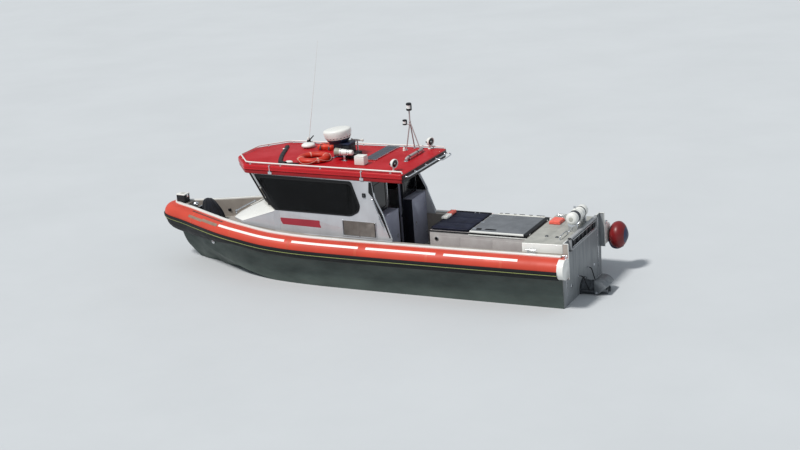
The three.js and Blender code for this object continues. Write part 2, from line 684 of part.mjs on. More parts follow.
function makeRaft() {
  const half = [[0, 450], [80, 450], [122, 425], [138, 390], [138, 20], [148, 20]];
  const profile = [...half.map(([r, h]) => [r, -h]), ...half.toReversed()];
  const shell = lathe(profile, 24).translate(0, 0, 300);
  const cradle = [-250, 250].map((y) => block([-100, 110], [y - 25, y + 25], [0, 230]));
  const rails = [-80, 90].map((x) => block([x - 20, x + 20], [-300, 300], [0, 25]));
  return join(shell, ...cradle, ...rails);
}

function makeBuoy() {
  const profile = [
    [0, -175], [120, -165], [220, -120], [275, -50], [290, 15], [270, 90], [215, 150], [140, 190],
    [75, 212], [60, 250], [0, 255],
  ];
  return lathe(profile, 24).rotateZ(Math.PI / 2 + 0.08);
}

// Waterjet: pipe on the transom, steering nozzle and reversing bucket
const JET_PIPE_END_X = TRANSOM_X - 330;
const NOZZLE_PIVOT_X = JET_PIPE_END_X - 30;
const BUCKET_PIVOT_X = JET_PIPE_END_X - 40;
const ARM = { inner: 200, outer: 225 }; // distance from the centreline of the arms that carry the bucket
function makeJetPipe() {
  const along = (top, bottom, length, x) =>
    new THREE.CylinderGeometry(top, bottom, length, 28).rotateZ(-Math.PI / 2).translate(x, 0, JET_Z);
  const flange = along(240, 240, 25, TRANSOM_X - FIT - 12.5);
  const pipe = along(190, 160, 320, TRANSOM_X - 170);
  const bore = along(150, 130, 300, TRANSOM_X - 200);
  const sides = [1, -1];
  const lugs = sides.map((side) => {
    const middleZ = JET_Z + side * 167.5;
    return block([JET_PIPE_END_X - 60, JET_PIPE_END_X + 60], [-30, 30], [middleZ - 17.5, middleZ + 17.5]);
  });
  const middle = (ARM.inner + ARM.outer) / 2;
  const arms = sides.map((side) =>
    block([BUCKET_PIVOT_X - 40, TRANSOM_X - 15], [side * middle - 12.5, side * middle + 12.5], [JET_Z - 35, JET_Z + 35]),
  );
  const pins = sides.map((side) =>
    rod(vec(BUCKET_PIVOT_X, side * 210, JET_Z), vec(BUCKET_PIVOT_X, side * (ARM.outer + 6 - FIT), JET_Z), 14),
  );
  return cut(join(flange, pipe, ...lugs, ...arms, ...pins), bore);
}

function makeNozzle() {
  const profile = [[118, 0], [100, -230], [90, -230], [106, 0], [118, 0]];
  const cone = lathe(profile, 28).rotateZ(-Math.PI / 2).translate(JET_PIPE_END_X - 5, 0, JET_Z);
  const bosses = [1, -1].map((side) =>
    new THREE.CylinderGeometry(26, 26, 46, 16).rotateX(Math.PI / 2).translate(NOZZLE_PIVOT_X, 0, JET_Z + side * 126.5),
  );
  return join(cone, ...bosses);
}

function makeBucket() {
  const [inner, outer] = [250, 262];
  const arc = (radius, from, to) =>
    Array.from({ length: 8 }, (_, i) => {
      const a = THREE.MathUtils.degToRad(from + ((to - from) * i) / 7);
      return [radius * Math.cos(a), radius * Math.sin(a)];
    });
  const cheekOut = ARM.outer + 21;
  const shell = upright(outline([...arc(outer, 80, 150), ...arc(inner, 150, 80)]), -cheekOut, cheekOut);
  const cheek = outline([...arc(outer, 80, 150), [-45, -15], [0, -45], [45, -15]]);
  const cheeks = [-cheekOut, ARM.outer + 6].map((y) => upright(cheek, y, y + 15));
  return join(shell, ...cheeks).translate(BUCKET_PIVOT_X, 0, JET_Z);
}

// Vents on the cabin's sides
function makeVent() {
  const frame = outline([[-880, 1165], [-60, 1165], [-60, 1505], [-880, 1505]]);
  frame.holes.push(outline([[-850, 1195], [-90, 1195], [-90, 1475], [-850, 1475]]));
  const y = CABIN_AFT_Y + FIT;
  const blades = Array.from({ length: 7 }, (_, i) => block([-855, -85], [y, y + 10], [1200 + i * 40, 1228 + i * 40]));
  return placeWall(join(upright(frame, y, y + 18), ...blades));
}

// Bow
function makeBowBox() {
  const half = [[4630, 115], [4890, 95]];
  const box = slab(rounded(mirrored(half), 20), 1305, 1515);
  return cut(box, hullSkin(FIT), capStrip(FIT), toStarboard(capStrip(FIT)));
}

function makeBollard() {
  const profile = [[0, 0], [95, 0], [95, 14], [52, 22], [45, 70], [45, 350], [72, 370], [72, 405], [50, 435], [0, 440]];
  return lathe(profile, 20).rotateX(Math.PI / 2);
}

function makeWinchCover() {
  // height, centre in X, half length, half breadth
  const rows = [
    [0, 3920, 330, 245],
    [180, 3950, 290, 215],
    [380, 4000, 200, 150],
    [500, 4050, 115, 90],
    [560, 4070, 50, 45],
  ];
  const ring = ([z, x, long, wide]) => {
    const ellipse = new THREE.Shape().absellipse(x, 0, long, wide, 0, 2 * Math.PI);
    return ellipse.getSpacedPoints(16).slice(1).map((p) => vec(p.x, p.y, z));
  };
  return loft(rows.map(ring), acrossZ);
}

function makeAntennaBase() {
  const foot = new THREE.CylinderGeometry(60, 68, 24, 16).rotateX(Math.PI / 2).translate(0, 0, 12);
  const ears = [16, -36].map((y) => block([-34, 34], [y, y + 20], [10, 105]));
  return join(foot, ...ears, rod(vec(0, -24, WHIP.pivot), vec(0, 24, WHIP.pivot), 6));
}

// Assembly
add("hull", makeHull(), metal(ALUMINIUM));
addPair("topside", makeTopside(), metal(ALUMINIUM));
add("collar", makeCollar(), rubber(ORANGE));
add("rubbing_strake", makeStrake(), rubber(DARK));
addPair("gunwale_cap", makeCap(), paint(WHITE));
add("foredeck_hood", makeHood(), paint(WHITE));
add("foredeck_rail", makeHoodRail(), metal(BARE_METAL));
add("bow_box", makeBowBox(), rubber(DARK));
add("bow_bollard", makeBollard(), metal(BARE_METAL)).position.set(4420, 0, FOREDECK_Z + FIT);
add("winch_cover", makeWinchCover(), rubber(DARK)).position.z = FOREDECK_Z + FIT;

addPair("cabin_side", makeWall(), metal(ALUMINIUM));
addPair("side_glass", makeSideGlass(), tinted());
addPair("side_vent", makeVent(), metal(ALUMINIUM));
add("windscreen_frame", makeScreenFrame(), metal(ALUMINIUM));
PANES.forEach((pane, i) => add("windscreen_" + pane, paneSlab(i, 0.071, -26, -16), tinted()));
add("bulkhead", makeBulkhead(), metal(ALUMINIUM));
const bulkheadPane = standing(bulkheadWindow(1, 0.998), BULKHEAD_X - 5, BULKHEAD_X + 5);
addPair("bulkhead_glass", bulkheadPane, tinted());
add("cabin_door", makeDoor(), metal(ALUMINIUM)).position.z = SOLE_Z + 9;
addPair("wing_locker", makeLocker(), metal(ALUMINIUM));
add("helm_console", makeConsole(), rubber(DARK));
const wheel = add("steering_wheel", makeWheel(), rubber(DARK));
wheel.position.set(1078, -450, 1330);
wheel.rotation.y = WHEEL_TILT - Math.PI / 2;
for (const [side, sign] of [["port", 1], ["starboard", -1]]) {
  add("seat_" + side, makeSeat(), rubber(DARK)).position.set(450, sign * 480, SOLE_Z + FIT);
}

add("roof", makeRoof(), paint(RED));
add("roof_rail", makeRoofRail(), metal(BARE_METAL));
add("aft_grab_rail", makeAftRail(), rubber(DARK));
add("radar_pedestal", makePedestal(), rubber(NAVY), gear);
add("radome", makeRadome(), paint(WHITE), gear).position.set(RADAR.x, 0, RADAR.base);
add("hailer", makeHailer(), paint(DECK_GREY), gear).position.set(180, 300, 0);
add("antenna_post", makeAntennaPost(), paint(WHITE), gear).position.set(200, -360, 0);
add("roof_box", block([-120, 120], [-100, 100], [0, 200]), paint(WHITE), gear).position.set(-330, 500, 0);
add("roof_panel", block([-510, -210], [-1000, 180], [0, 35]), rubber(DARK), gear);
add("floodlight_port", makeFloodlight(), paint(WHITE), gear).position.set(-1290, 880, 0);
add("floodlight_starboard", makeFloodlight(), paint(WHITE), gear).position.set(-1240, -1000, 0);
add("mast", makeMast(), metal(BARE_METAL), gear).position.set(-850, -900, 0);
add("lifebuoy", makeLifebuoy(), rubber(ORANGE), gear).position.set(890, 400, 0);
const bagPlan = rounded([[-230, -150], [230, -150], [230, 150], [-230, 150]], 60);
add("rescue_bag", slab(bagPlan, 0, 130), rubber(ORANGE), gear).position.set(1080, -560, 0);
const domeProfile = [[0, 0], [80, 0], [80, 12], [148, 34], [155, 62], [110, 98], [0, 110]];
const dome = lathe(domeProfile, 20).rotateX(Math.PI / 2);
add("satnav_dome", dome, paint(WHITE), gear).position.set(1610, -620, 0);
add("antenna_base", makeAntennaBase(), rubber(DARK), gear).position.set(WHIP.x, WHIP.y, 0);
add("whip_antenna", makeWhip(), paint(DECK_GREY), gear).position.set(WHIP.x, WHIP.y, 0);

add("engine_box", makeEngineBox(), paint(DECK_GREY));
add("engine_block", block([-3700, -2400], [-380, 380], [-150 + FIT, 950]), metal(ALUMINIUM));
add("engine_hatch", makeHatch(), paint(DECK_GREY));
add("deck_cushion", makeCushion(), rubber(NAVY));
add("stern_deck", makeSternDeck(), paint(WHITE));
add("transom_frame", makeTransomFrame(), paint(DECK_GREY));
add("liferaft", makeRaft(), paint(WHITE)).position.set(-4930, -120, STERN_DECK.top + FIT);
const buoy = makeBuoy();
buoy.computeBoundingBox();
add("stern_buoy", buoy, rubber(RED)).position.set(COLLAR_END_X - FIT - buoy.boundingBox.max.x, -1420, 800);
add("jet_pipe", makeJetPipe(), metal(ALUMINIUM));
add("jet_nozzle", makeNozzle(), metal(ALUMINIUM));
add("reversing_bucket", makeBucket(), metal(ALUMINIUM));

export default boat;
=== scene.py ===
# %% [markdown]
# # An inshore rescue boat
# The boat has an aluminium hull with an orange buoyant collar, a wheelhouse with a red roof, an engine box
# aft and one waterjet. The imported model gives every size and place. This lesson gives it its surfaces:
# each piece is modelled round the solid that it stands for, and nothing of the solid is moved.
# X runs to the bow, Y to port and Z up, in metres, with the floor at the waterline.

# %% The frame
import math

import bmesh
import bpy
from mathutils import Matrix, Vector, noise
from mathutils.bvhtree import BVHTree
from mathutils.geometry import interpolate_bezier


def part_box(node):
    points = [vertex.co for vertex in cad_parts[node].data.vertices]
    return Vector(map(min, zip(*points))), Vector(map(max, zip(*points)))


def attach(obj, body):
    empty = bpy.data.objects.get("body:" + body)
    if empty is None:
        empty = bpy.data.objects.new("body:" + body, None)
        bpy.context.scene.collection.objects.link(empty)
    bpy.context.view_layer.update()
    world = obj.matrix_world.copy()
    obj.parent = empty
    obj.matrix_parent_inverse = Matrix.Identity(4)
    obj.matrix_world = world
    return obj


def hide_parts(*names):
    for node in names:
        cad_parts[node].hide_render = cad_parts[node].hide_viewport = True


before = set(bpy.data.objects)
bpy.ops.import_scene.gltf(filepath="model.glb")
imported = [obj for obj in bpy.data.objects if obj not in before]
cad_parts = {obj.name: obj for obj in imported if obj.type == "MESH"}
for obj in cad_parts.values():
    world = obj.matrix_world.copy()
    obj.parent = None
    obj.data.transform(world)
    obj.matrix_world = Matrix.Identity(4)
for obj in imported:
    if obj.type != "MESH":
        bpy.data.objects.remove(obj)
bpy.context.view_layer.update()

# %% [markdown]
# ## Camera, floor and light
# The photograph was taken from off the port quarter with a long lens, so the camera stands 33 m away. A
# camera could be aimed with a Track To constraint. Its three axes are worked out from three angles here,
# because the horizon of the picture is tilted and a constraint has no roll.

# %% Camera
LENS_MM = 67.5
CAMERA_AT = Vector((-15.31, 27.71, 10.56))
AZIMUTH, ELEVATION, ROLL = (math.radians(a) for a in (207.5, 16.8, -4.3))


def aim(azimuth, elevation, roll):
    """The camera's axes right, up and back as the columns of a matrix."""
    back = Vector(
        (
            math.sin(azimuth) * math.cos(elevation), -math.cos(azimuth) * math.cos(elevation),
            math.sin(elevation),
        )
    )
    level = Vector((math.cos(azimuth), math.sin(azimuth), 0))
    upright = back.cross(level)
    right = math.cos(roll) * level + math.sin(roll) * upright
    return Matrix((right, back.cross(right), back)).transposed().to_4x4()


def link(item):
    bpy.context.scene.collection.objects.link(item)
    return item


def mesh_of(shape, name):
    """Turns a bmesh into a mesh and frees it."""
    mesh = bpy.data.meshes.new(name)
    shape.to_mesh(mesh)
    shape.free()
    return mesh


camera = bpy.data.cameras.new("camera")
camera.lens = LENS_MM
camera.sensor_width = 36
view = link(bpy.data.objects.new("camera", camera))
view.matrix_world = Matrix.Translation(CAMERA_AT) @ aim(AZIMUTH, ELEVATION, ROLL)
bpy.context.scene.camera = view
print("camera at", tuple(view.location))

# %% [markdown]
# A high soft sun to port of the bow gives the collar and the roof's edge their bright tops, as in the
# picture, and a pale sky fills the shade. The sun's angle is wide, so its shadows have soft edges.

# %% Floor and light
FLOOR_HALF = 90
SUN_FROM = Vector((0.3, 0.55, 0.95))
SUN_POWER, SKY_POWER = 3.05, 0.5

floor_bm = bmesh.new()
bmesh.ops.create_grid(floor_bm, x_segments=1, y_segments=1, size=FLOOR_HALF)
floor = link(bpy.data.objects.new("floor", mesh_of(floor_bm, "floor")))

sun = bpy.data.lights.new("sun", "SUN")
sun.energy = SUN_POWER
sun.angle = math.radians(9)
sun.color = (1.0, 0.975, 0.94)
sun_object = link(bpy.data.objects.new("sun", sun))
sun_object.rotation_euler = SUN_FROM.to_track_quat("Z", "Y").to_euler()

sky = bpy.data.worlds.new("sky")
bpy.context.scene.world = sky
sky.use_nodes = True
sky.node_tree.nodes["Background"].inputs["Color"].default_value = (0.8, 0.87, 0.94, 1)
sky.node_tree.nodes["Background"].inputs["Strength"].default_value = SKY_POWER
bpy.context.scene.view_settings.view_transform = "Standard"

# %% [markdown]
# ## Finishes
# Every finish starts from a real one: coated fabric, gelcoat, painted aluminium, rubber, vinyl. One function
# turns an sRGB colour to linear light, one adds a node with its settings and links, and one builds the
# graph that most of the finishes share: a colour and a roughness that drift over a real distance, and a
# bump of a real size. All the patterns read Object coordinates, so they stay in place on what moves.

# %% Colour and node helpers
def linear(colour):
    """An sRGB colour such as "e0562f" as linear red, green, blue and alpha."""
    parts = [int(colour[i:i + 2], 16) / 255 for i in (0, 2, 4)]
    return (*(c / 12.92 if c <= 0.04045 else ((c + 0.055) / 1.055) ** 2.4 for c in parts), 1)


def add_node(tree, kind, inputs, **settings):
    """Adds a node. Its inputs are values, or outputs of other nodes to link to."""
    made = tree.nodes.new("ShaderNode" + kind)
    for name, value in settings.items():
        setattr(made, name, value)
    for name, value in inputs.items():
        if isinstance(value, bpy.types.NodeSocket):
            tree.links.new(value, made.inputs[name])
        else:
            made.inputs[name].default_value = value
    return made


def new_material(name):
    made = bpy.data.materials.new(name)
    made.use_nodes = True
    return made, made.node_tree, made.node_tree.nodes["Principled BSDF"]


# %% A finish that drifts
def finish(name, colour, other, drift_mm, rough, bump=None, stretch=(1, 1, 1), **sockets):
    """colour and other are the two sRGB colours it drifts between, over drift_mm. rough is the lowest and
    highest roughness. bump is (size in mm, depth in mm) of a noise, or of the texture that is named third.
    Other words are the shader's sockets."""
    made, tree, shader = new_material(name)
    place = add_node(tree, "TexCoord", {}).outputs["Object"]
    spread = add_node(tree, "Mapping", {"Vector": place, "Scale": stretch}).outputs[0]
    drift = add_node(
        tree, "TexNoise", {"Vector": spread, "Scale": 1000 / drift_mm, "Detail": 5, "Roughness": 0.6}
    )
    share = add_node(
        tree, "MapRange", {"Value": drift.outputs[0], "From Min": 0.35, "From Max": 0.65}
    ).outputs[0]
    mix = add_node(tree, "Mix", {0: share, 6: linear(colour), 7: linear(other)}, data_type="RGBA")
    tree.links.new(mix.outputs[2], shader.inputs["Base Color"])
    dull = add_node(tree, "MapRange", {"Value": share, "To Min": rough[0], "To Max": rough[1]})
    tree.links.new(dull.outputs[0], shader.inputs["Roughness"])
    if bump:
        size_mm, depth_mm, texture = (*bump, "TexNoise")[:3]
        pattern = add_node(tree, texture, {"Vector": place, "Scale": 1000 / size_mm})
        height = add_node(
            tree, "Bump", {"Height": pattern.outputs[0], "Distance": depth_mm / 1000, "Strength": 0.8}
        )
        tree.links.new(height.outputs[0], shader.inputs["Normal"])
    for name, value in sockets.items():
        shader.inputs[name.replace("_", " ")].default_value = value
    return made


# %% [markdown]
# The collar is foam in a polyurethane-coated fabric: matt, a little chalky, with the weave just showing
# through the coat. The boat's paints are gloss gelcoat on the roof and rolled marine paint on the aluminium,
# which has a satin look because the metal was abraded first. Deck paint holds grit.

# %% Paints and fabrics
COLLAR_FABRIC = finish(
    "coated_collar_fabric", "cb4734", "bc3f2d", 900, (0.4, 0.55), (9, 0.5), Specular_IOR_Level=0.35
)
SEAM_FABRIC = finish("welded_seam_fabric", "c94a30", "bb442c", 300, (0.4, 0.55), (7, 0.4))
CHAFE_FABRIC = finish("chafe_patch_rubber", "8f7a6b", "7c6759", 120, (0.6, 0.8), (12, 1.2, "TexVoronoi"))
DARK_STRIP = finish("dark_moulded_strip", "5b3d35", "47302b", 150, (0.5, 0.7))
TAPE = finish("retroreflective_tape", "f1eeea", "e2dcd8", 200, (0.25, 0.4), (6, 0.3, "TexVoronoi"))
RUBBER = finish(
    "extruded_black_rubber", "131417", "1c1d20", 260, (0.55, 0.75), (14, 0.5), Specular_IOR_Level=0.3
)
LIME = finish("lime_rubber_bead", "a8b06c", "98a05e", 200, (0.45, 0.6))
WHITE_PAINT = finish("white_gelcoat", "e8e8e4", "dcddd9", 700, (0.2, 0.34), Coat_Weight=0.25)
RED_PAINT = finish(
    "red_gelcoat", "bd111c", "ad0e18", 800, (0.22, 0.36), Coat_Weight=0.1, Specular_IOR_Level=0.35
)
CABIN_PAINT = finish(
    "silver_rolled_paint", "bdbfc3", "b0b2b7", 500, (0.3, 0.42), (5, 0.12), (1, 1, 0.25), Metallic=0.25
)
HULL_PAINT = finish("dark_bottom_paint", "46524d", "37413e", 420, (0.45, 0.7), (22, 0.6), (0.4, 1, 1))
INNER_PAINT = finish("light_inner_paint", "a39c94", "948c85", 380, (0.45, 0.6), (8, 0.3))
DECK_PAINT = finish("gritted_deck_paint", "a9a9a3", "979893", 260, (0.7, 0.88), (5, 1.0, "TexVoronoi"))
HATCH_PAINT = finish("gritted_hatch_paint", "6e7277", "63676c", 240, (0.66, 0.85), (5, 1.0, "TexVoronoi"))
BOX_PAINT = finish("pale_box_paint", "b8b4b2", "aba4a3", 330, (0.35, 0.5))
STEEL_DULL = finish("blasted_stainless_casting", "8d9194", "7b7f83", 90, (0.35, 0.5), (4, 0.25), Metallic=1)
BUOY_RED = finish("faded_red_foam", "c8321c", "b22a16", 150, (0.45, 0.6), (5, 0.3))
BAND_CLOTH = finish("faded_pink_webbing", "dca294", "cf9284", 40, (0.7, 0.85), (4, 0.3, "TexWave"))
JACKET_CLOTH = finish("orange_nylon_cloth", "ee6a58", "dd5a4a", 70, (0.55, 0.75), (3, 0.3), Sheen_Weight=0.2)
WHITE_CLOTH = finish("white_cotton_cloth", "ecebe6", "dfded8", 70, (0.75, 0.9), (3, 0.3), Sheen_Weight=0.2)
STRAP_DARK = finish("dark_raft_strap", "3c3f45", "2f3238", 60, (0.6, 0.8), (4, 0.4, "TexWave"))
TRANSOM_PAINT = finish("grey_transom_paint", "8f9396", "7f8386", 300, (0.45, 0.6), (12, 0.3), (1, 3, 0.4))
RACK_PAINT = finish("grey_rack_paint", "a2a4a6", "939598", 260, (0.4, 0.55), (6, 0.15))
MAST_PAINT = finish("grey_mast_paint", "b4a9a8", "a59a9a", 200, (0.35, 0.5), Metallic=0.2)
# A lilac grey: grey paint whose lilac tint is a painted sky reflection, for the aft faces under the roof.
SKY_TINT_GREY_PAINT = finish("sky_tinted_grey_paint", "a3a5b6", "9294a6", 420, (0.4, 0.55), (6, 0.12), Metallic=0.1)
VENT_PAINT = finish("bronze_grey_paint", "6b6561", "5e5954", 200, (0.45, 0.6), Metallic=0.2)
# The roof's top: the edge's red a little darker, rougher and less shiny.
ROOF_TOP_PAINT = finish(
    "roof_top_red_gelcoat", "b5131e", "a61019", 600, (0.4, 0.55), (9, 0.15), Specular_IOR_Level=0.25
)
# A dark red for the grooves of the roof's edge: painted shade under the step of the band above.
GROOVE_SHADE_RED = finish("groove_shade_red_gelcoat", "6c0e15", "5c0b11", 500, (0.4, 0.55))
# A darker red for the lower band of the roof's edge: painted shade under the overhang of the band above.
LOW_BAND_SHADE_RED = finish("lower_band_shade_red", "980c15", "880a12", 500, (0.3, 0.45), Specular_IOR_Level=0.35)
STRIPE_VINYL = finish("red_stripe_vinyl", "9a2233", "8e1e2e", 300, (0.3, 0.42))

# %% [markdown]
# Bright steel, dark castings, moulded plastics and vinyl. Vinyl has a leather-like grain about 3 mm across,
# and canvas has threads. They are drawn coarser than the real ones so that they still show from here.

# %% Metals, plastics and vinyl
STEEL = finish("polished_stainless_steel", "dfe1e4", "d2d5d9", 90, (0.18, 0.32), Metallic=1)
CAST = finish("sand_cast_aluminium", "565a5e", "484c50", 80, (0.4, 0.6), (4, 0.4), Metallic=0.85)
ENGINE_PAINT = finish("engine_enamel", "6d7679", "5f686b", 150, (0.35, 0.5), (6, 0.3))
WHITE_PLASTIC = finish("moulded_white_asa", "e9e9e4", "dddeda", 240, (0.25, 0.38))
GREY_PLASTIC = finish("moulded_grey_asa", "b9b9b1", "a9a9a2", 160, (0.4, 0.55), (3, 0.15))
# An olive grey for the horn's bell end.
OLIVE_PLASTIC = finish("olive_grey_asa", "9b9c8f", "8a8b7e", 120, (0.45, 0.6), (3, 0.2))
BLACK_PLASTIC = finish(
    "moulded_black_abs", "15161a", "1f2125", 120, (0.42, 0.6), (3, 0.2), Specular_IOR_Level=0.35
)
NAVY_PLASTIC = finish("moulded_navy_abs", "18213c", "121a30", 160, (0.35, 0.5), (3, 0.15))
CANVAS = finish(
    "black_acrylic_canvas", "0f1117", "1b1f29", 130, (0.7, 0.9), (4, 0.9), Sheen_Weight=0.15,
    Specular_IOR_Level=0.25,
)
NAVY_VINYL = finish(
    "navy_marine_vinyl", "0a102b", "080c20", 220, (0.5, 0.65), (4, 0.25, "TexVoronoi"), Specular_IOR_Level=0.3
)
SEAT_VINYL = finish("black_marine_vinyl", "1a1a1d", "242427", 160, (0.4, 0.55), (4, 0.25, "TexVoronoi"))
BUOY_ORANGE = finish("orange_coated_foam", "d63f22", "c1351a", 150, (0.4, 0.55), (5, 0.3))
RED_VINYL = finish("inflated_red_vinyl", "7e1014", "6a0c0f", 260, (0.32, 0.48))
NAVY_END = finish("dipped_navy_vinyl", "1d2a55", "161f42", 160, (0.3, 0.45))
LENS = finish("frosted_lamp_lens", "f2f2ee", "e6e8e6", 60, (0.1, 0.2))
DARK_LENS = finish("dark_lamp_glass", "15171b", "0e1013", 60, (0.05, 0.1))
SCREEN = finish("helm_screen_glass", "0d1118", "121a24", 90, (0.05, 0.12))
FRIT = finish("ceramic_black_border", "0c0e11", "08090b", 220, (0.08, 0.16), Specular_IOR_Level=0.3)
# A dark navy that is painted shade, for the deep shade on the aft bulkhead and the lockers' inner sides.
SHADE_NAVY_PAINT = finish("painted_shade_navy", "1d1f2c", "171924", 380, (0.4, 0.55), (6, 0.12))
SOLAR = finish("solar_cells", "101628", "1a2238", 156, (0.08, 0.16))

# %% [markdown]
# The windows are dark tinted glass. Some light passes, so that the seats and the helm show faintly from
# outside, and a polished surface mirrors the sky.

# %% Tinted glass
GLASS, glass_tree, glass = new_material("tinted_safety_glass")
glass_place = add_node(glass_tree, "TexCoord", {}).outputs["Object"]
glass_film = add_node(glass_tree, "TexNoise", {"Vector": glass_place, "Scale": 2.5, "Detail": 3})
glass_haze = add_node(
    glass_tree, "MapRange", {"Value": glass_film.outputs[0], "To Min": 0.02, "To Max": 0.07}
)
glass_tree.links.new(glass_haze.outputs[0], glass.inputs["Roughness"])
GLASS_LOOK = {
    "Base Color": linear("1d2226"), "IOR": 1.5, "Specular IOR Level": 0.28, "Transmission Weight": 0.6
}
for name, value in GLASS_LOOK.items():
    glass.inputs[name].default_value = value

FLOOR_PAINT = finish("pale_studio_floor", "c4c8cb", "c0c4c7", 4000, (0.8, 0.9))
floor.data.materials.append(FLOOR_PAINT)
print("materials", len(bpy.data.materials))

# %% [markdown]
# ## Shapes
# Each helper returns a small bmesh made by Blender's own operators: a bevelled cube, a cone between two
# points, a spun profile, an extruded outline, a ring bridged to the next, a curve with a section. A Piece
# gathers them, each in its finish, and becomes one object with its place in its mesh.

# %% Piece
QUARTER = math.pi / 2


def shift(by):
    return Matrix.Translation(by)


def turn(angle, axis):
    return Matrix.Rotation(angle, 4, axis)


def join_into(shape, part):
    """Moves what part holds into shape."""
    mesh = mesh_of(part, "part")
    shape.from_mesh(mesh)
    bpy.data.meshes.remove(mesh)


def joined(shape, *parts):
    """One shape that holds them all."""
    for part in parts:
        join_into(shape, part)
    return shape


def placed(shape, place):
    """The shape, moved by a matrix where there is one."""
    if place is not None:
        bmesh.ops.transform(shape, matrix=place, verts=shape.verts)
    return shape


class Piece:
    """One object in the making. Its shapes are drawn from place, which is the origin unless it is given."""

    def __init__(self, name, place=Matrix()):
        self.name = name
        self.place = place
        self.bm = bmesh.new()
        self.finishes = []

    def index(self, material):
        if material not in self.finishes:
            self.finishes.append(material)
        return self.finishes.index(material)

    def add(self, shape, material, place=None):
        """Joins a shape to the piece, moved by the matrix place."""
        placed(shape, self.place if place is None else self.place @ place)
        number = self.index(material)
        for face in shape.faces:
            face.material_index = number
        join_into(self.bm, shape)

    def both(self, shape, material):
        """Joins a shape drawn on the port side, and its mirror image."""
        other = shape.copy()
        self.add(shape, material)
        bmesh.ops.scale(other, vec=(1, -1, 1), verts=other.verts)
        bmesh.ops.reverse_faces(other, faces=other.faces)
        self.add(other, material)

    def repaint(self, test, material):
        """Gives a finish to the faces whose middle and normal pass a test."""
        number = self.index(material)
        for face in self.bm.faces:
            if test(face.calc_center_median(), face.normal):
                face.material_index = number

    def done(self, body, slot, *nodes, sharp=32):
        """Makes the object, and says on which body it rides and what it replaces. slot is not used."""
        mesh = mesh_of(self.bm, self.name)
        for material in self.finishes:
            mesh.materials.append(material)
        mesh.shade_smooth()
        mesh.set_sharp_from_angle(angle=math.radians(sharp))
        made = link(bpy.data.objects.new(self.name, mesh))
        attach(made, body)
        if nodes:
            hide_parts(*nodes)
        print(self.name, len(mesh.polygons), "faces")


# %% Solid shapes
def box(low, high, bevel=0.0, segments=2):
    """A block between two corners, its edges rounded by bevel."""
    low, high = Vector(low), Vector(high)
    shape = bmesh.new()
    place = shift((low + high) / 2) @ Matrix.Diagonal((*(high - low), 1))
    bmesh.ops.create_cube(shape, size=1, matrix=place)
    if bevel:
        round_edges(shape, shape.edges, bevel, segments)
    return shape


def round_edges(shape, edges, width, segments=2):
    bmesh.ops.bevel(
        shape, geom=list(edges), offset=width, affect="EDGES", segments=segments, profile=0.5, material=-1,
        clamp_overlap=True,
    )


def rod(start, end, radius, tip=None, sides=16):
    """A round bar between two points, or a cone where tip gives another radius."""
    start, end = Vector(start), Vector(end)
    along = end - start
    place = shift((start + end) / 2) @ along.to_track_quat("Z", "Y").to_matrix().to_4x4()
    shape = bmesh.new()
    bmesh.ops.create_cone(
        shape, cap_ends=True, segments=sides, radius1=radius, radius2=radius if tip is None else tip,
        depth=along.length, matrix=place,
    )
    return shape


def turned(profile, steps=32, place=None):
    """A profile of (radius, height) spun once round Z."""
    shape = bmesh.new()
    points = [shape.verts.new((r, 0, h)) for r, h in profile]
    edges = [shape.edges.new(pair) for pair in zip(points, points[1:])]
    bmesh.ops.spin(
        shape, geom=points + edges, cent=(0, 0, 0), axis=(0, 0, 1), dvec=(0, 0, 0), angle=2 * math.pi,
        steps=steps, use_merge=True, use_normal_flip=False, use_duplicate=False,
    )
    bmesh.ops.remove_doubles(shape, verts=shape.verts, dist=1e-5)
    bmesh.ops.recalc_face_normals(shape, faces=shape.faces)
    return placed(shape, place)


# an outline in X and Y stood up: as seen along X, and as seen along Y
STANDING = Matrix(((0, 0, 1, 0), (1, 0, 0, 0), (0, 1, 0, 0), (0, 0, 0, 1)))
ON_SIDE = Matrix(((1, 0, 0, 0), (0, 0, -1, 0), (0, 1, 0, 0), (0, 0, 0, 1)))


def plate(outline, z0, z1, bevel=0.0, place=None):
    """An outline in X and Y, extruded from z0 to z1."""
    shape = bmesh.new()
    face = shape.faces.new([shape.verts.new((x, y, z0)) for x, y in outline])
    risen = bmesh.ops.extrude_face_region(shape, geom=[face])["geom"]
    bmesh.ops.translate(
        shape, vec=(0, 0, z1 - z0), verts=[v for v in risen if isinstance(v, bmesh.types.BMVert)]
    )
    bmesh.ops.recalc_face_normals(shape, faces=shape.faces)
    if bevel:
        rims = [e for e in shape.edges if abs(e.verts[0].co.z - e.verts[1].co.z) < 1e-6]
        round_edges(shape, rims, bevel)
    return placed(shape, place)


def fillet(points, radius, steps=4):
    """An outline whose corners are rounded by short arcs."""
    rounded = []
    for i, point in enumerate(points):
        corner = Vector(point)
        before = corner + (Vector(points[i - 1]) - corner).normalized() * radius
        after = corner + (Vector(points[(i + 1) % len(points)]) - corner).normalized() * radius
        for k in range(steps + 1):
            t = k / steps
            rounded.append(before * (1 - t) ** 2 + corner * 2 * t * (1 - t) + after * t ** 2)
    return [tuple(p) for p in rounded]


def rect(x0, y0, x1, y1):
    """The corners of a rectangle."""
    return [(x0, y0), (x1, y0), (x1, y1), (x0, y1)]


def mirrored(points, middle=()):
    """Points from the port side, those in the middle, and the mirror image of the first ones in turn."""
    return [*points, *middle, *((x, -y, *rest) for x, y, *rest in reversed(points))]


def tile(outline, round_by, z0, z1, bevel=0.0, steps=4, place=None):
    """A plate with its corners rounded."""
    return plate(fillet(outline, round_by, steps), z0, z1, bevel, place)


def standing(outline, round_by, x0, x1, bevel=0.0):
    """A rounded outline in Y and Z as a plate that faces forward."""
    return tile(outline, round_by, x0, x1, bevel, place=STANDING)


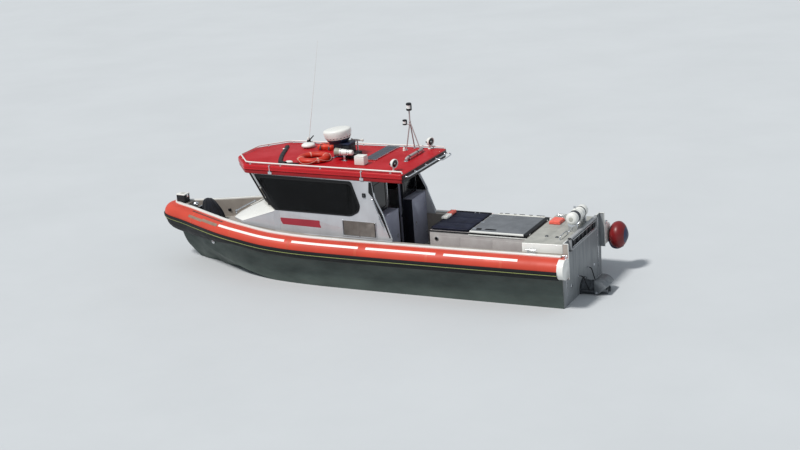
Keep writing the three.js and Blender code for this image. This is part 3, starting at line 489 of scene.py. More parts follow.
def disc(top, inner, outer, rim, foot=0):
    """The profile of a flange: flat on top, sloping from inner to outer, down to its foot."""
    return [(0, top), (inner, top), (outer, rim), (outer, foot), (0, foot)]


def knob(top, shoulder, waist, widest):
    """The profile of a rounded end, the same above and below."""
    return [(0, top), (shoulder, waist), (widest, 0), (shoulder, -waist), (0, -top)]


def lofted(rings, caps=(0, -1), closed=True):
    """Rings of equal point count, each bridged to the next. caps says which of them are filled."""
    shape = bmesh.new()
    loops = []
    for ring in rings:
        points = [shape.verts.new(p) for p in ring]
        loops.append(
            [shape.edges.new((points[i - 1], points[i])) for i in range(0 if closed else 1, len(points))]
        )
    for first, second in zip(loops, loops[1:]):
        bmesh.ops.bridge_loops(shape, edges=first + second)
    for i in caps:
        bmesh.ops.contextual_create(shape, geom=loops[i])
    bmesh.ops.recalc_face_normals(shape, faces=shape.faces)
    return shape


def framed(outer, inner, z0, z1, place=None):
    """A flat ring between two outlines of equal point count, from z0 to z1."""
    levels = ((outer, z0), (outer, z1), (inner, z1), (inner, z0), (outer, z0))
    shape = lofted([[(x, y, z) for x, y in outline] for outline, z in levels], caps=())
    bmesh.ops.remove_doubles(shape, verts=shape.verts, dist=1e-6)
    bmesh.ops.recalc_face_normals(shape, faces=shape.faces)
    return placed(shape, place)


# %% Swept shapes
def smooth(points, steps=6, closed=False, spacing=None):
    """Points on a smooth curve through the given ones, so many to a stretch or spaced by a distance."""
    points = [Vector(p) for p in points]
    count = len(points)
    path = []
    for i in range(count if closed else count - 1):
        a, b = points[i], points[(i + 1) % count]
        before = points[i - 1] if closed or i else a
        after = points[(i + 2) % count] if closed or i + 2 < count else b
        reach = (b - a).length / 3
        leave = a + (b - before).normalized() * reach
        arrive = b - (after - a).normalized() * reach
        if spacing:
            steps = max(4, round((b - a).length / spacing))
        path += interpolate_bezier(a, leave, arrive, b, steps + 1)[:-1]
    return path if closed else path + [points[-1]]


def evaluated(item):
    """A new mesh of an object as its modifiers or its curve settings make it."""
    graph = bpy.context.evaluated_depsgraph_get()
    return bpy.data.meshes.new_from_object(item.evaluated_get(graph))


def spline_of(points, closed, name):
    curve = bpy.data.curves.new(name, "CURVE")
    curve.dimensions = "3D"
    spline = curve.splines.new("POLY")
    spline.points.add(len(points) - 1)
    for slot, point in zip(spline.points, points):
        slot.co = (*point, 0, 1) if len(point) == 2 else (*point, 1)
    spline.use_cyclic_u = closed
    return curve


def swept(points, section=None, radius=0.0, closed=False, upright=True, sides=2):
    """A curve through points that carries a section, drawn to its left and upwards, or a round bar."""
    curve = spline_of(points, closed, "path")
    curve.twist_mode = "Z_UP" if upright else "MINIMUM"
    curve.use_fill_caps = not closed
    holder = None
    if section:
        holder = link(bpy.data.objects.new("section", spline_of(section, True, "section")))
        curve.bevel_mode = "OBJECT"
        curve.bevel_object = holder
    else:
        curve.bevel_depth = radius
        curve.bevel_resolution = sides
    item = link(bpy.data.objects.new("path", curve))
    bpy.context.view_layer.update()
    mesh = evaluated(item)
    shape = bmesh.new()
    shape.from_mesh(mesh)
    bmesh.ops.remove_doubles(shape, verts=shape.verts, dist=1e-6)
    bmesh.ops.recalc_face_normals(shape, faces=shape.faces)
    bpy.data.meshes.remove(mesh)
    for made in filter(None, (item, holder)):
        data = made.data
        bpy.data.objects.remove(made)
        bpy.data.curves.remove(data)
    return shape


def tube(points, radius, closed=False, sides=2):
    """A round bar bent along a path in any direction."""
    return swept(points, radius=radius, closed=closed, upright=False, sides=sides)


def refined(node, bevel, segments=2, sharp=25):
    """A merged copy of a solid with its flat faces joined up and its sharp edges rounded."""
    shape = bmesh.new()
    shape.from_mesh(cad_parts[node].data)
    bmesh.ops.remove_doubles(shape, verts=shape.verts, dist=1e-5)
    bmesh.ops.dissolve_limit(shape, angle_limit=math.radians(1), verts=shape.verts, edges=shape.edges)
    shape.normal_update()
    limit = math.radians(sharp)
    edges = [e for e in shape.edges if len(e.link_faces) == 2 and e.calc_face_angle() > limit]
    if bevel:
        round_edges(shape, edges, bevel, segments)
    return shape

# %% [markdown]
# ## The line of the sheer
# The collar, its strake and the cap all follow the top edge of the hull round the bow. They could be curves
# with a bevel, but their sections have to stay upright and level with the deck, so the line is sampled once,
# with the direction that points outboard at each sample, and every strip is bridged from ring to ring.

# %% Sheer line
SHEER = [
    (-5.170, 1.200, 1.100), (-2.600, 1.240, 1.100), (0.500, 1.240, 1.100), (1.650, 1.225, 1.145),
    (2.500, 1.125, 1.232), (3.000, 0.985, 1.266), (3.800, 0.600, 1.277), (4.300, 0.360, 1.288),
    (4.700, 0.200, 1.300), (4.830, 0.142, 1.307), (4.920, 0.078, 1.310), (4.950, 0.000, 1.312),
]
COLLAR_OUT, COLLAR_TALL, COLLAR_MIDDLE = 0.28, 0.43, 0.06
EDGE_ANGLE = 0.6


def sheer_samples():
    """Points all round the bow, each with the level direction outboard."""
    path = smooth(mirrored(SHEER[:-1], SHEER[-1:]), spacing=0.13)
    samples = []
    for i, point in enumerate(path):
        ahead = path[min(i + 1, len(path) - 1)] - path[max(i - 1, 0)]
        samples.append((point, Vector((-ahead.y, ahead.x, 0)).normalized()))
    return samples


SHEER_SAMPLES = sheer_samples()


def samples_between(aft, front):
    """The port side's samples from one X to another, with both ends cut exactly."""
    port = [s for s in SHEER_SAMPLES if s[0].y >= 0]
    cut = []
    for (p, m), (q, n) in zip(port, port[1:]):
        for at in (aft, front):
            if p.x <= at < q.x:
                t = (at - p.x) / (q.x - p.x)
                cut.append((p.lerp(q, t), m.lerp(n, t).normalized()))
    inside = [s for s in port if aft < s[0].x < front]
    return sorted(cut + inside, key=lambda s: s[0].x)


def strip(section, samples):
    """A closed strip with a section of (outboard, up) along samples of the sheer."""
    return lofted([[p + out * o + Vector((0, 0, u)) for o, u in section] for p, out in samples])


def collar_face(degrees, grow=0.0):
    """A point of the collar's round face, at an angle over the horizontal."""
    a = math.radians(degrees)
    return (
        COLLAR_MIDDLE + (COLLAR_OUT - COLLAR_MIDDLE + grow) * math.cos(a),
        -COLLAR_TALL / 2 + (COLLAR_TALL / 2 + grow) * math.sin(a),
    )


def band(high, low, thick, step=4.0):
    """The section of a thin layer on the collar's face, between two angles, with softened edges."""
    count = max(2, round((high - low) / step))
    angles = [high + (low - high) * i / count for i in range(count + 1)]
    angles[0], angles[-1] = high - EDGE_ANGLE, low + EDGE_ANGLE
    outer = [collar_face(a, thick) for a in angles]
    start, end = ([collar_face(a, grow) for grow in (-0.002, thick * 0.4)] for a in (high, low))
    return [*start, *outer, *reversed(end)]


print("sheer samples", len(SHEER_SAMPLES))

# %% [markdown]
# ## Collar
# The real collar is a shaped foam body under a fabric skin, welded in panels, with bonded-on layers: an
# anti-chafe patch at the shoulder, a dark moulded strip under the cap and lengths of reflective tape. Each
# layer is a thin closed strip of its own, which gives it a true edge, where a painted mask would have none.

# %% Collar body
def collar_section(swell=0.0):
    face = [collar_face(80 - 160 * i / 28, swell) for i in range(29)]
    return [(-0.072, -0.012), *face, (-0.095, -COLLAR_TALL)]


collar = Piece("collar_skin")
collar.add(strip(collar_section(), SHEER_SAMPLES), COLLAR_FABRIC)
PANEL_SEAMS = (3.95, 2.6, 1.1, -0.55, -2.2, -3.85)
for seam_x in PANEL_SEAMS:
    collar.both(strip(band(76, -72, 0.0012), samples_between(seam_x - 0.03, seam_x + 0.03)), SEAM_FABRIC)
collar.done("boat", "collar_orange", "collar", sharp=40)

# %% Layers on the collar
layers = Piece("collar_layers")
layers.both(strip(band(55, 36, 0.0035), samples_between(3.0, 3.55)), CHAFE_FABRIC)
layers.both(strip(band(48, 31, 0.0035), samples_between(3.552, 4.08)), CHAFE_FABRIC)
layers.both(strip(band(86, 77, 0.003), samples_between(2.95, 4.1)), DARK_STRIP)
TAPE_RUNS = ((1.2, 2.96), (-0.6, 1.02), (-2.4, -0.78), (-4.2, -2.58))
for aft, front in TAPE_RUNS:
    layers.both(strip(band(57, 42, 0.002), samples_between(aft, front)), TAPE)
layers.done("boat", "collar_orange")

# %% [markdown]
# The strake is an extruded black rubber fender, bonded over the lower half of the collar. Its section has
# four ribs, with a thin lime bead between the first two, and it grows deeper towards the bow, where it takes
# the knocks of coming alongside. The aft ends are shut by welded plates.

# %% Strake and collar ends
STRAKE_RIBS, STRAKE_HIGH, STRAKE_LOW, STRAKE_THICK = 4, -0.5, -63.0, 0.024
BEAD_AT = -19.0


def strake_section(bow):
    """The strake's section. bow is 0 along the side and 1 at the stem, where it reaches lower."""
    low = STRAKE_LOW - 28 * bow
    points = [collar_face(STRAKE_HIGH + 1, -0.012), collar_face(STRAKE_HIGH + 0.5, 0.012)]
    steps = STRAKE_RIBS * 6
    for i in range(steps + 1):
        share = i / steps
        groove = 0.008 * max(
            0.0, math.cos(share * STRAKE_RIBS * 2 * math.pi)
        ) ** 4 if 0 < i < steps else 0.003
        deep = 0.175 * bow * max(0.0, (share - 0.35) / 0.65) ** 1.3
        points.append(collar_face(STRAKE_HIGH + (low - STRAKE_HIGH) * share, STRAKE_THICK - groove + deep))
    return [*points, collar_face(low - 1, 0.008 + 0.1 * bow), collar_face(low - 1, -0.012)]


def strake_strip(samples):
    rings = []
    for point, out in samples:
        bow = min(1.0, max(0.0, (point.x - 2.6) / 1.6))
        rings.append([point + out * o + Vector((0, 0, u)) for o, u in strake_section(bow)])
    return lofted(rings)


strake = Piece("strake_rubber")
STRAKE_RUN = [s for s in SHEER_SAMPLES if s[0].x > -5.16]
strake.add(strake_strip(STRAKE_RUN), RUBBER)
strake.add(strip(band(BEAD_AT + 1.4, BEAD_AT - 1.4, STRAKE_THICK + 0.004, 0.7), STRAKE_RUN), LIME)
strake.done("boat", "black_rubber", "rubbing_strake", sharp=50)

ends = Piece("collar_end_plates")


def end_plate():
    """A plate across the collar's aft end, with rounded edges."""
    aft = SHEER_SAMPLES[0][0]
    section = collar_section(0.004)
    shape = lofted([[Vector((x, aft.y + o, aft.z + u)) for o, u in section] for x in (-5.1745, -5.166)])
    round_edges(shape, [e for e in shape.edges if abs(e.verts[0].co.x - e.verts[1].co.x) < 1e-5], 0.002, 2)
    return shape


ends.both(end_plate(), WHITE_PAINT)
ends.both(strip(band(79, -79, 0.0035), samples_between(-5.1695, -5.04)), WHITE_PAINT)
ends.both(rod((-5.15, 1.22, 1.086), (-5.15, 1.22, 1.16), 0.022), STEEL)
ends.both(rod((-5.19, 1.22, 1.15), (-5.09, 1.22, 1.15), 0.015), STEEL)
ends.both(box((-5.18, 1.19, 1.083), (-5.1, 1.25, 1.095), 0.004), STEEL)
ends.done("boat", "white_paint")

# %% [markdown]
# ## Gunwale cap
# A folded aluminium capping, painted white, with a rolled outer edge. It is one strip with a rounded section,
# and its joints show as narrow covers a hand wide.

# %% Cap
def cap_section(inner=-0.075, low=-0.012, outer=0.006, high=0.026):
    """A rounded section of (outboard, up) over the topside's edge."""
    return fillet([(inner, low), (inner, high), (outer, high), (outer, low)], 0.009, 3)


cap = Piece("cap_rail")
cap.add(strip(cap_section(), [s for s in SHEER_SAMPLES if s[0].x > -5.05]), WHITE_PAINT)
for joint_x in (3.35, 1.3, -1.6, -4.1):
    joint = samples_between(joint_x - 0.04, joint_x + 0.04)
    cap.both(strip(cap_section(-0.077, -0.01, 0.0072, 0.0275), joint), WHITE_PAINT)
cap.done("boat", "white_paint", "gunwale_cap_port", "gunwale_cap_starboard", sharp=40)

# %% [markdown]
# ## Hull
# The hull is welded from aluminium plate. The solids of the hull and its topsides stay for the inside: the
# sole, the wells and the decks. Outside, a thin plating follows the same stations but is smooth between
# them, as rolled plate is, and carries the chine and the spray rails. A keel bar runs along its bottom.

# %% Hull plating
# x, keel z, chine y, chine z, sheer y, sheer z
STATIONS = [
    (-5.050, -0.500, 1.140, -0.070, 1.200, 1.100), (-2.600, -0.520, 1.170, -0.060, 1.240, 1.100),
    (0.500, -0.520, 1.170, -0.060, 1.240, 1.100), (1.650, -0.500, 1.090, 0.000, 1.225, 1.145),
    (2.500, -0.430, 0.940, 0.120, 1.125, 1.232), (3.000, -0.350, 0.780, 0.220, 0.985, 1.266),
    (3.800, -0.210, 0.470, 0.400, 0.600, 1.277), (4.300, -0.060, 0.240, 0.540, 0.360, 1.288),
    (4.700, 0.265, 0.090, 0.660, 0.200, 1.300), (4.820, 0.440, 0.050, 0.740, 0.150, 1.306),
    (4.900, 0.700, 0.025, 0.850, 0.105, 1.310),
]
PLATE = 0.004
PLATE_GAP = 0.006
ACROSS_BOTTOM = (0.15, 0.3, 0.36, 0.49, 0.62, 0.68, 0.82)
ACROSS_SIDE = (0.1, 0.2, 0.325, 0.45, 0.575, 0.7, 0.85)


def fair_stations(steps):
    """The stations with more between them, each value on a smooth curve."""
    rows = [smooth([(s[0], s[k], 0) for s in STATIONS], steps) for k in range(1, 6)]
    return [(here[0].x, *(p.y for p in here)) for here in zip(*rows)]


def station_ring(x, keel, chine_y, chine_z, sheer_y, sheer_z):
    """Half a section, from the keel out to the sheer, with a chine flat 35 mm wide."""
    flat = min(0.035, chine_y * 0.4)
    points = [(0, keel - PLATE_GAP)]
    for share in ACROSS_BOTTOM:
        rail = PLATE_GAP + (0.012 if share in (0.36, 0.68) else 0)
        points.append((chine_y * share, keel + (chine_z - keel) * share - rail))
    points += [
        (chine_y - flat, chine_z - 0.004), (chine_y + 0.004, chine_z - 0.008),
        (chine_y + 0.006, chine_z + 0.012),
    ]
    for share in ACROSS_SIDE:
        points.append((chine_y + (sheer_y - chine_y) * share + PLATE, chine_z + (sheer_z - chine_z) * share))
    return [Vector((x, y, z)) for y, z in points]


def over_solid(shape):
    """Moves the plating's points outwards where the flat faces of the solid come nearer than the gap."""
    for node in ("hull", "topside_port", "topside_starboard"):
        tree = BVHTree.FromObject(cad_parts[node], bpy.context.evaluated_depsgraph_get())
        for vertex in shape.verts:
            out = vertex.normal
            gap = PLATE_GAP * (1 + min(1.0, max(0.0, vertex.co.x - 2.5)))
            hit = tree.ray_cast(vertex.co + out * 0.25, -out, 0.25 + gap)[0]
            if hit is not None:
                vertex.co = hit + out * gap


def hull_half():
    shape = lofted([station_ring(*row) for row in fair_stations(8)], caps=(), closed=False)
    if sum(f.normal.y for f in shape.faces) < 0:
        bmesh.ops.reverse_faces(shape, faces=shape.faces)
    shape.normal_update()
    over_solid(shape)
    bmesh.ops.solidify(shape, geom=list(shape.faces), thickness=PLATE)
    bmesh.ops.recalc_face_normals(shape, faces=shape.faces)
    return shape


hull = Piece("hull_plating")
hull.both(hull_half(), HULL_PAINT)
hull.done("boat", "hull_aluminium", sharp=24)

# %% [markdown]
# Small parts on the hull: a bar along the keel, the intake grille of the waterjet between the keel and the
# transom, anodes by the transom, and a round skin fitting under the strake near the bow.

# %% Hull details
def keel_point(x):
    """The height of the keel at a distance forward."""
    for a, b in zip(STATIONS, STATIONS[1:]):
        if a[0] <= x <= b[0]:
            return a[1] + (x - a[0]) / (b[0] - a[0]) * (b[1] - a[1])


fittings = Piece("hull_fittings")
keel_line = [(x, 0, keel_point(x) - 0.004) for x in (-3.2, -2.0, 0.5, 1.65, 2.5, 3.0, 3.8, 4.3)]
fittings.add(swept(smooth(keel_line, 5), rect(-0.022, -0.012, 0.022, 0.016)), CAST)
for k in range(7):
    y = (k - 3) * 0.055
    fittings.add(
        rod((-4.62, y, -0.492 + abs(y) * 0.36), (-3.95, y, -0.5 + abs(y) * 0.36), 0.011, sides=10), STEEL
    )
for x in (-4.64, -3.93):
    fittings.add(box((x - 0.03, -0.21, -0.53), (x + 0.03, 0.21, -0.43), 0.008), CAST)
for y in (0.62, -0.62):
    fittings.add(box((-5.075, y - 0.09, -0.16), (-5.052, y + 0.09, -0.06), 0.008, 3), STEEL)
fitting_place = shift((3.62, 0.625, 0.6)) @ Vector(
    (0.42, 0.86, -0.22)
).to_track_quat("Z", "Y").to_matrix().to_4x4()
profile = [(0.0, 0.02), (0.022, 0.02), (0.026, 0.008), (0.045, 0.006), (0.05, -0.01), (0, -0.01)]
fittings.add(turned(profile, 24), STEEL, fitting_place)
fittings.done("boat", "bright_metal")

# %% Inside of the hull
def carry_over(node, material):
    """A solid whose shape is right stays, with its finish in its own slot."""
    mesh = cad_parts[node].data
    mesh.materials.clear()
    mesh.materials.append(material)
    mesh.shade_flat()


def two_sided(inside, outside):
    """The inner paint, changed to the outer one on the faces that look outboard or down."""
    made = inside.copy()
    made.name = "inner_and_outer_hull_paint"
    tree = made.node_tree
    place = add_node(tree, "TexCoord", {})
    where = add_node(tree, "SeparateXYZ", {0: place.outputs["Object"]})
    facing = add_node(tree, "SeparateXYZ", {0: place.outputs["Normal"]})

    def calculated(operation, first, second):
        return add_node(tree, "Math", {0: first, 1: second}, operation=operation).outputs[0]

    is_out = calculated("GREATER_THAN", calculated("MULTIPLY", where.outputs[1], facing.outputs[1]), 0.02)
    either = calculated("MAXIMUM", is_out, calculated("LESS_THAN", facing.outputs[2], -0.3))
    base = tree.nodes["Principled BSDF"].inputs["Base Color"]
    mix = add_node(tree, "Mix", {0: either, 6: base.links[0].from_socket, 7: outside}, data_type="RGBA")
    tree.links.new(mix.outputs[2], base)
    return made


HULL_INSIDE = two_sided(INNER_PAINT, linear("3e4944"))
for node in ("hull", "topside_port", "topside_starboard"):
    carry_over(node, HULL_INSIDE)

transom = Piece("transom_plate")
transom_outline = [(0, -0.497), (1.136, -0.069), (1.196, 1.098), (0, 1.098)]
full = transom_outline + [(-y, z) for y, z in reversed(transom_outline[1:-1])]
transom.add(plate(full, -5.0545, -5.0505, 0.001, STANDING), TRANSOM_PAINT)
for y in (0.96, -0.96):
    transom.add(box((-5.062, y - 0.012, 0.2), (-5.053, y + 0.012, 1.05), 0.003), STEEL)
    transom.add(
        turned(disc(0.012, 0.03, 0.04, 0.004), 20, shift((-5.054, y * 0.72, 0.34)) @ turn(-QUARTER, "Y")),
        STEEL,
    )
transom.done("boat", "hull_aluminium")

# %% [markdown]
# ## Decks
# The sole and the bow well carry loose-laid panels with a gritted paint and rounded corners, a finger's width
# apart. The stern deck is a fibreglass moulding: its edges are rounded and its top is a lighter grey.

# %% Sole and well panels
panels = Piece("sole_panels")
SOLE_Z, PANEL_THICK = 0.4505, 0.0065
for x0, x1 in ((-4.1, -3.25), (-3.23, -2.3), (-2.28, -1.9)):
    panels.both(tile(rect(x0, 0.645, x1, 1.02), 0.03, SOLE_Z, SOLE_Z + PANEL_THICK, 0.0015), DECK_PAINT)
for y0, y1 in ((-1.02, -0.345), (-0.335, 0.335), (0.345, 1.02)):
    panels.add(tile(rect(-1.88, y0, -0.86, y1), 0.03, SOLE_Z, SOLE_Z + PANEL_THICK, 0.0015), DECK_PAINT)
well = [(3.02, 0.66), (3.8, 0.42), (4.28, 0.215)]
panels.add(tile(mirrored(well), 0.04, 0.8805, 0.887, 0.0015), DECK_PAINT)
panels.add(tile([(-0.7, -0.96), (1.1, -0.9), (1.1, 0.9), (-0.7, 0.96)], 0.03, 0.4505, 0.456), DARK_STRIP)
panels.done("boat", "grey_deck")

# %% Stern deck
stern = Piece("stern_moulding")
stern.add(refined("stern_deck", 0.022, 4), WHITE_PAINT)
stern.repaint(lambda c, n: n.z > 0.9, DECK_PAINT)
for x0, x1 in ((-4.98, -4.6), (-4.56, -4.22)):
    stern.add(tile([(x0, -0.9), (x1, -0.93), (x1, 0.93), (x0, 0.9)], 0.05, 1.2985, 1.3015, 0.001), DECK_PAINT)
stern.done("boat", "grey_deck", "stern_deck")

# %% [markdown]
# Deck hardware is polished stainless steel: a rail bent from tube with a flange at each foot, bollards on
# plates, a cleat, and two dark deck plugs. A swept curve gives the bent tube, and turned profiles give the
# flanges.

# %% Deck hardware
def hoop(points, radius, foot=0.028):
    """A bent tube through points, with a flange under each end."""
    flanges = [
        turned(disc(0.006, foot * 0.8, foot, 0.002), 20, shift(end)) for end in (points[0], points[-1])
    ]
    return joined(tube(smooth(points, 5), radius, sides=4), *flanges)


def cleat(at, along=(0, 1, 0)):
    """A mooring cleat: two feet and a bar with rounded horns."""
    place = shift(at) @ Vector(along).to_track_quat("X", "Z").to_matrix().to_4x4()
    shape = box((-0.055, -0.02, 0), (0.055, 0.02, 0.008), 0.004)
    for x in (-0.028, 0.028):
        join_into(shape, rod((x, 0, 0.006), (x, 0, 0.04), 0.011, 0.009))
    horns = smooth(
        [(-0.095, 0, 0.052), (-0.05, 0, 0.046), (0, 0, 0.044), (0.05, 0, 0.046), (0.095, 0, 0.052)], 4
    )
    join_into(shape, swept(horns, radius=0.01, sides=4))
    return placed(shape, place)


hardware = Piece("deck_hardware")
RAIL_BENDS = ((0.7, 1.3), (0.7, 1.345), (0.67, 1.37), (0.31, 1.37), (0.28, 1.345), (0.28, 1.3))
hardware.add(hoop([(-4.85, y, z) for y, z in RAIL_BENDS], 0.012), STEEL)
for x, y in ((-4.5, 0.53), (-4.73, 0.55)):
    hardware.add(
        turned([(0, 0.016), (0.026, 0.016), (0.036, 0.008), (0.04, 0)], 20, shift((x, y, 1.3015))), CAST
    )
hardware.add(cleat((-4.32, -0.8, 1.3005), (1, 0, 0)), STEEL)
hardware.both(box((-4.46, 1.052, 1.101), (-4.26, 1.11, 1.115), 0.004), STEEL)
for x in (-4.42, -4.3):
    hardware.both(rod((x, 1.082, 1.115), (x, 1.082, 1.168), 0.014, 0.011), STEEL)
hardware.both(rod((-4.475, 1.082, 1.174), (-4.245, 1.082, 1.174), 0.013), STEEL)
hardware.done("boat", "bright_metal")

# %% Transom frame
rack = Piece("transom_rack")
RACK_AFT, RACK_FRONT, RACK_Y, RACK_LOW, RACK_HIGH = -5.13, -5.0508, 0.82, 1.11, 1.385
for z in (RACK_LOW, RACK_HIGH - 0.045):
    rack.add(box((RACK_AFT, -RACK_Y, z), (RACK_FRONT, RACK_Y, z + 0.045), 0.012, 3), RACK_PAINT)
for y in (-RACK_Y, RACK_Y - 0.06):
    rack.add(box((RACK_AFT, y, RACK_LOW), (RACK_FRONT, y + 0.06, RACK_HIGH), 0.012, 3), RACK_PAINT)
rack.add(box((-5.085, -0.8, 1.12), (-5.055, 0.8, 1.375)), BLACK_PLASTIC)
for z in (1.172, 1.312):
    rack.add(box((RACK_AFT - 0.002, -0.7, z), (RACK_AFT + 0.02, 0.7, z + 0.012), 0.003), STEEL)
for k in range(6):
    y = -0.6 + 0.24 * k
    rack.add(box((-5.11, y - 0.006, 1.16), (-5.08, y + 0.006, 1.335), 0.002), CAST)
rack.done("boat", "grey_deck", "transom_frame")

quarters_aft = Piece("transom_quarters")
for low, high, bevel, paint in (
    ((-5.0585, 0.825, 1.1), (-5.0505, 1.112, 1.36), 0.003, TRANSOM_PAINT),
    ((-5.172, 1.1015, 0.62), (-5.055, 1.1095, 1.36), 0.003, INNER_PAINT),
    ((-5.172, 1.096, 0.62), (-5.055, 1.1005, 1.35), 0.001, TRANSOM_PAINT),
    ((-5.172, 1.085, 1.352), (-5.05, 1.116, 1.366), 0.004, WHITE_PAINT),
    ((-5.07, 0.822, 1.352), (-5.046, 1.116, 1.366), 0.004, WHITE_PAINT),
    ((-5.1735, 1.08, 0.62), (-5.165, 1.116, 1.362), 0.003, WHITE_PAINT),
):
    quarters_aft.both(box(low, high, bevel), paint)
quarters_aft.done("boat", "grey_deck")

# %% [markdown]
# ## Foredeck trunk
# The trunk in front of the windscreen has a white moulded top on an aluminium body. The solid already has
# the shape, so a copy of it is merged, its edges are rounded, and the finish is chosen by where faces look.

# %% Trunk
trunk = Piece("foredeck_trunk")
trunk.add(refined("foredeck_hood", 0.014, 3), WHITE_PAINT)
trunk.repaint(lambda c, n: n.z < 0.25, CABIN_PAINT)
trunk.both(
    swept([(1.66, 1.036, 1.575), (2.5, 1.006, 1.3), (2.855, 0.76, 1.288)], radius=0.006, sides=3), CABIN_PAINT
)
trunk.add(
    tile(
        [(2.4, -0.3), (2.8, -0.26), (2.8, 0.26), (2.4, 0.3)], 0.05, 0, 0.012, 0.004,
        place=shift((0, 0, 1.5845)) @ shift((2.4, 0, 0)) @ turn(0.448, "Y") @ shift((-2.4, 0, 0)),
    ),
    WHITE_PAINT,
)
JOINT = [(1.6595, 0.985), (1.6595, 1.034), (1.54, 0.9965), (1.54, 0.985)]
trunk.both(plate(JOINT, 1.112, 1.586, 0.002), CABIN_PAINT)
trunk.done("boat", "white_paint", "foredeck_hood")

rail = Piece("trunk_grab_rail")
bar = [(2.99, 0.42, 1.18), (3.02, 0.42, 1.2), (3.038, 0.41, 1.28), (3.04, 0.36, 1.315)]
rail.add(tube(smooth(mirrored(bar), 6), 0.0175, sides=4), STEEL)
for y in (0.42, -0.42):
    rail.add(
        turned(
            [(0, 0.012), (0.026, 0.012), (0.034, 0.006), (0.036, 0), (0, 0)], 24,
            shift((2.9845, y, 1.18)) @ turn(QUARTER, "Y"),
        ),
        STEEL,
    )
    rail.add(turned(knob(0.034, 0.024, 0.028, 0.034), 20, shift((3.04, y * 0.94, 1.312))), STEEL)
rail.done("boat", "bright_metal", "foredeck_rail")

# %% [markdown]
# ## Bow gear
# The bow box is a black moulding with a lift-off white lid. The bollard is a stainless casting with a cross
# pin. Both are turned or bevelled shapes.

# %% Bow box and bollard
bow = Piece("bow_locker")
bow_plan = [(4.635, 0.108), (4.885, 0.09), (4.885, -0.09), (4.635, -0.108)]
bow.add(tile(bow_plan, 0.03, 1.312, 1.491, 0.008), BLACK_PLASTIC)
bow.add(
    tile([(x + (0.006 if x > 4.7 else -0.006), y * 1.05) for x, y in bow_plan], 0.035, 1.489, 1.514, 0.009),
    WHITE_PLASTIC,
)
bow.add(box((4.625, -0.03, 1.43), (4.637, 0.03, 1.5), 0.004), STEEL)
bow.add(box((4.7, -0.05, 1.508), (4.8, 0.05, 1.5155), 0.003), GREY_PLASTIC)
bow.done("boat", "black_plastic", "bow_box")

bollard = Piece("bow_bollard_casting")
stem_profile = [
    (0, 0.44), (0.048, 0.436), (0.066, 0.42), (0.073, 0.4), (0.073, 0.376), (0.062, 0.362), (0.046, 0.346),
    (0.044, 0.2), (0.046, 0.075), (0.056, 0.03), (0.092, 0.018), (0.096, 0.01), (0.096, 0.0005), (0, 0.0005),
]
at_bow = shift((4.42, 0, 0.88))
bollard.add(turned(stem_profile, 40, at_bow), STEEL)
bollard.add(rod((4.42, -0.125, 1.16), (4.42, 0.125, 1.16), 0.016), STEEL)
for y in (-0.125, 0.125):
    bollard.add(turned(knob(0.022, 0.016, 0.018, 0.023), 20, shift((4.42, y, 1.16))), STEEL)
for k in range(6):
    a = k * math.pi / 3
    x, y = 4.42 + 0.078 * math.cos(a), 0.078 * math.sin(a)
    bollard.add(rod((x, y, 0.892), (x, y, 0.904), 0.009, sides=6), STEEL)
bollard.add(box((4.33, -0.25, 0.9), (4.39, -0.2, 1.2), 0.01), STEEL)
bollard.add(box((4.3, 0.12, 0.9), (4.4, 0.2, 1.16), 0.014), BLACK_PLASTIC)
bollard.add(box((4.2, 0.04, 0.89), (4.27, 0.16, 1.24), 0.014), BLACK_PLASTIC)
bollard.add(rod((4.22, 0.05, 1.25), (4.22, 0.17, 1.25), 0.022), STEEL)
bollard.done("boat", "bright_metal", "bow_bollard")

cleats = Piece("bow_fittings")
cleats.both(box((3.78, 0.455, 1.005), (3.85, 0.5, 1.06), 0.008), BLACK_PLASTIC)
cleats.both(rod((3.84, 0.472, 1.035), (4.08, 0.362, 1.03), 0.007), RUBBER)
cleats.done("boat", "bright_metal")

# %% [markdown]
# ## Wheelhouse
# The sides are rolled-painted aluminium plate. Their copies keep the solid's openings, with rounded edges.
# Each window has a black border and sits in a rubber gasket that is swept round its outline.

# %% Cabin sides
SILL_Z, ROOF_UNDER_Z = 1.6, 2.4
WALL_PIVOT = shift((-0.8, 1.08, 0)) @ turn(-math.atan2(0.09, 2.45), "Z") @ shift((0.8, -1.08, 0))
SIDE_WINDOW = [(-0.27, 1.62), (1.59, 1.62), (1.99, 2.32), (-0.33, 2.32), (-0.5, 1.85), (-0.46, 1.72)]


def on_wall(x, y, z):
    """A point drawn on the flat port wall, turned with it as the cabin narrows."""
    return WALL_PIVOT @ Vector((x, y, z))


def wall_plate(outline, y0, y1, bevel=0.0):
    """An outline in X and Z as a plate on the port wall."""
    return plate(outline, -y1, -y0, bevel, WALL_PIVOT @ ON_SIDE)


# The black border is the ceramic frit of the bonded glass. It is drawn up to the roof's edge, where it is
# also painted shade for the roof's shadow on the wall.
FRIT_BORDER_TO_ROOF = [(-0.285, 1.6), (1.662, 1.6), (2.116, 2.39), (-0.35, 2.378), (-0.53, 1.85), (-0.485, 1.705)]
border, opening = fillet(FRIT_BORDER_TO_ROOF, 0.06, 6), fillet(SIDE_WINDOW, 0.1, 6)
walls = Piece("cabin_sides")
walls.add(refined("cabin_side_port", 0.004, 2, 40), CABIN_PAINT)
walls.add(refined("cabin_side_starboard", 0.004, 2, 40), CABIN_PAINT)
walls.both(framed(border, opening, -1.0865, -1.0802, WALL_PIVOT @ ON_SIDE), FRIT)
walls.both(tube([on_wall(x, 1.086, z) for x, z in opening], 0.006, closed=True, sides=3), RUBBER)
walls.both(swept([on_wall(x, 1.0815, 1.112) for x in (-1.235, 1.63)], radius=0.007, sides=3), CABIN_PAINT)
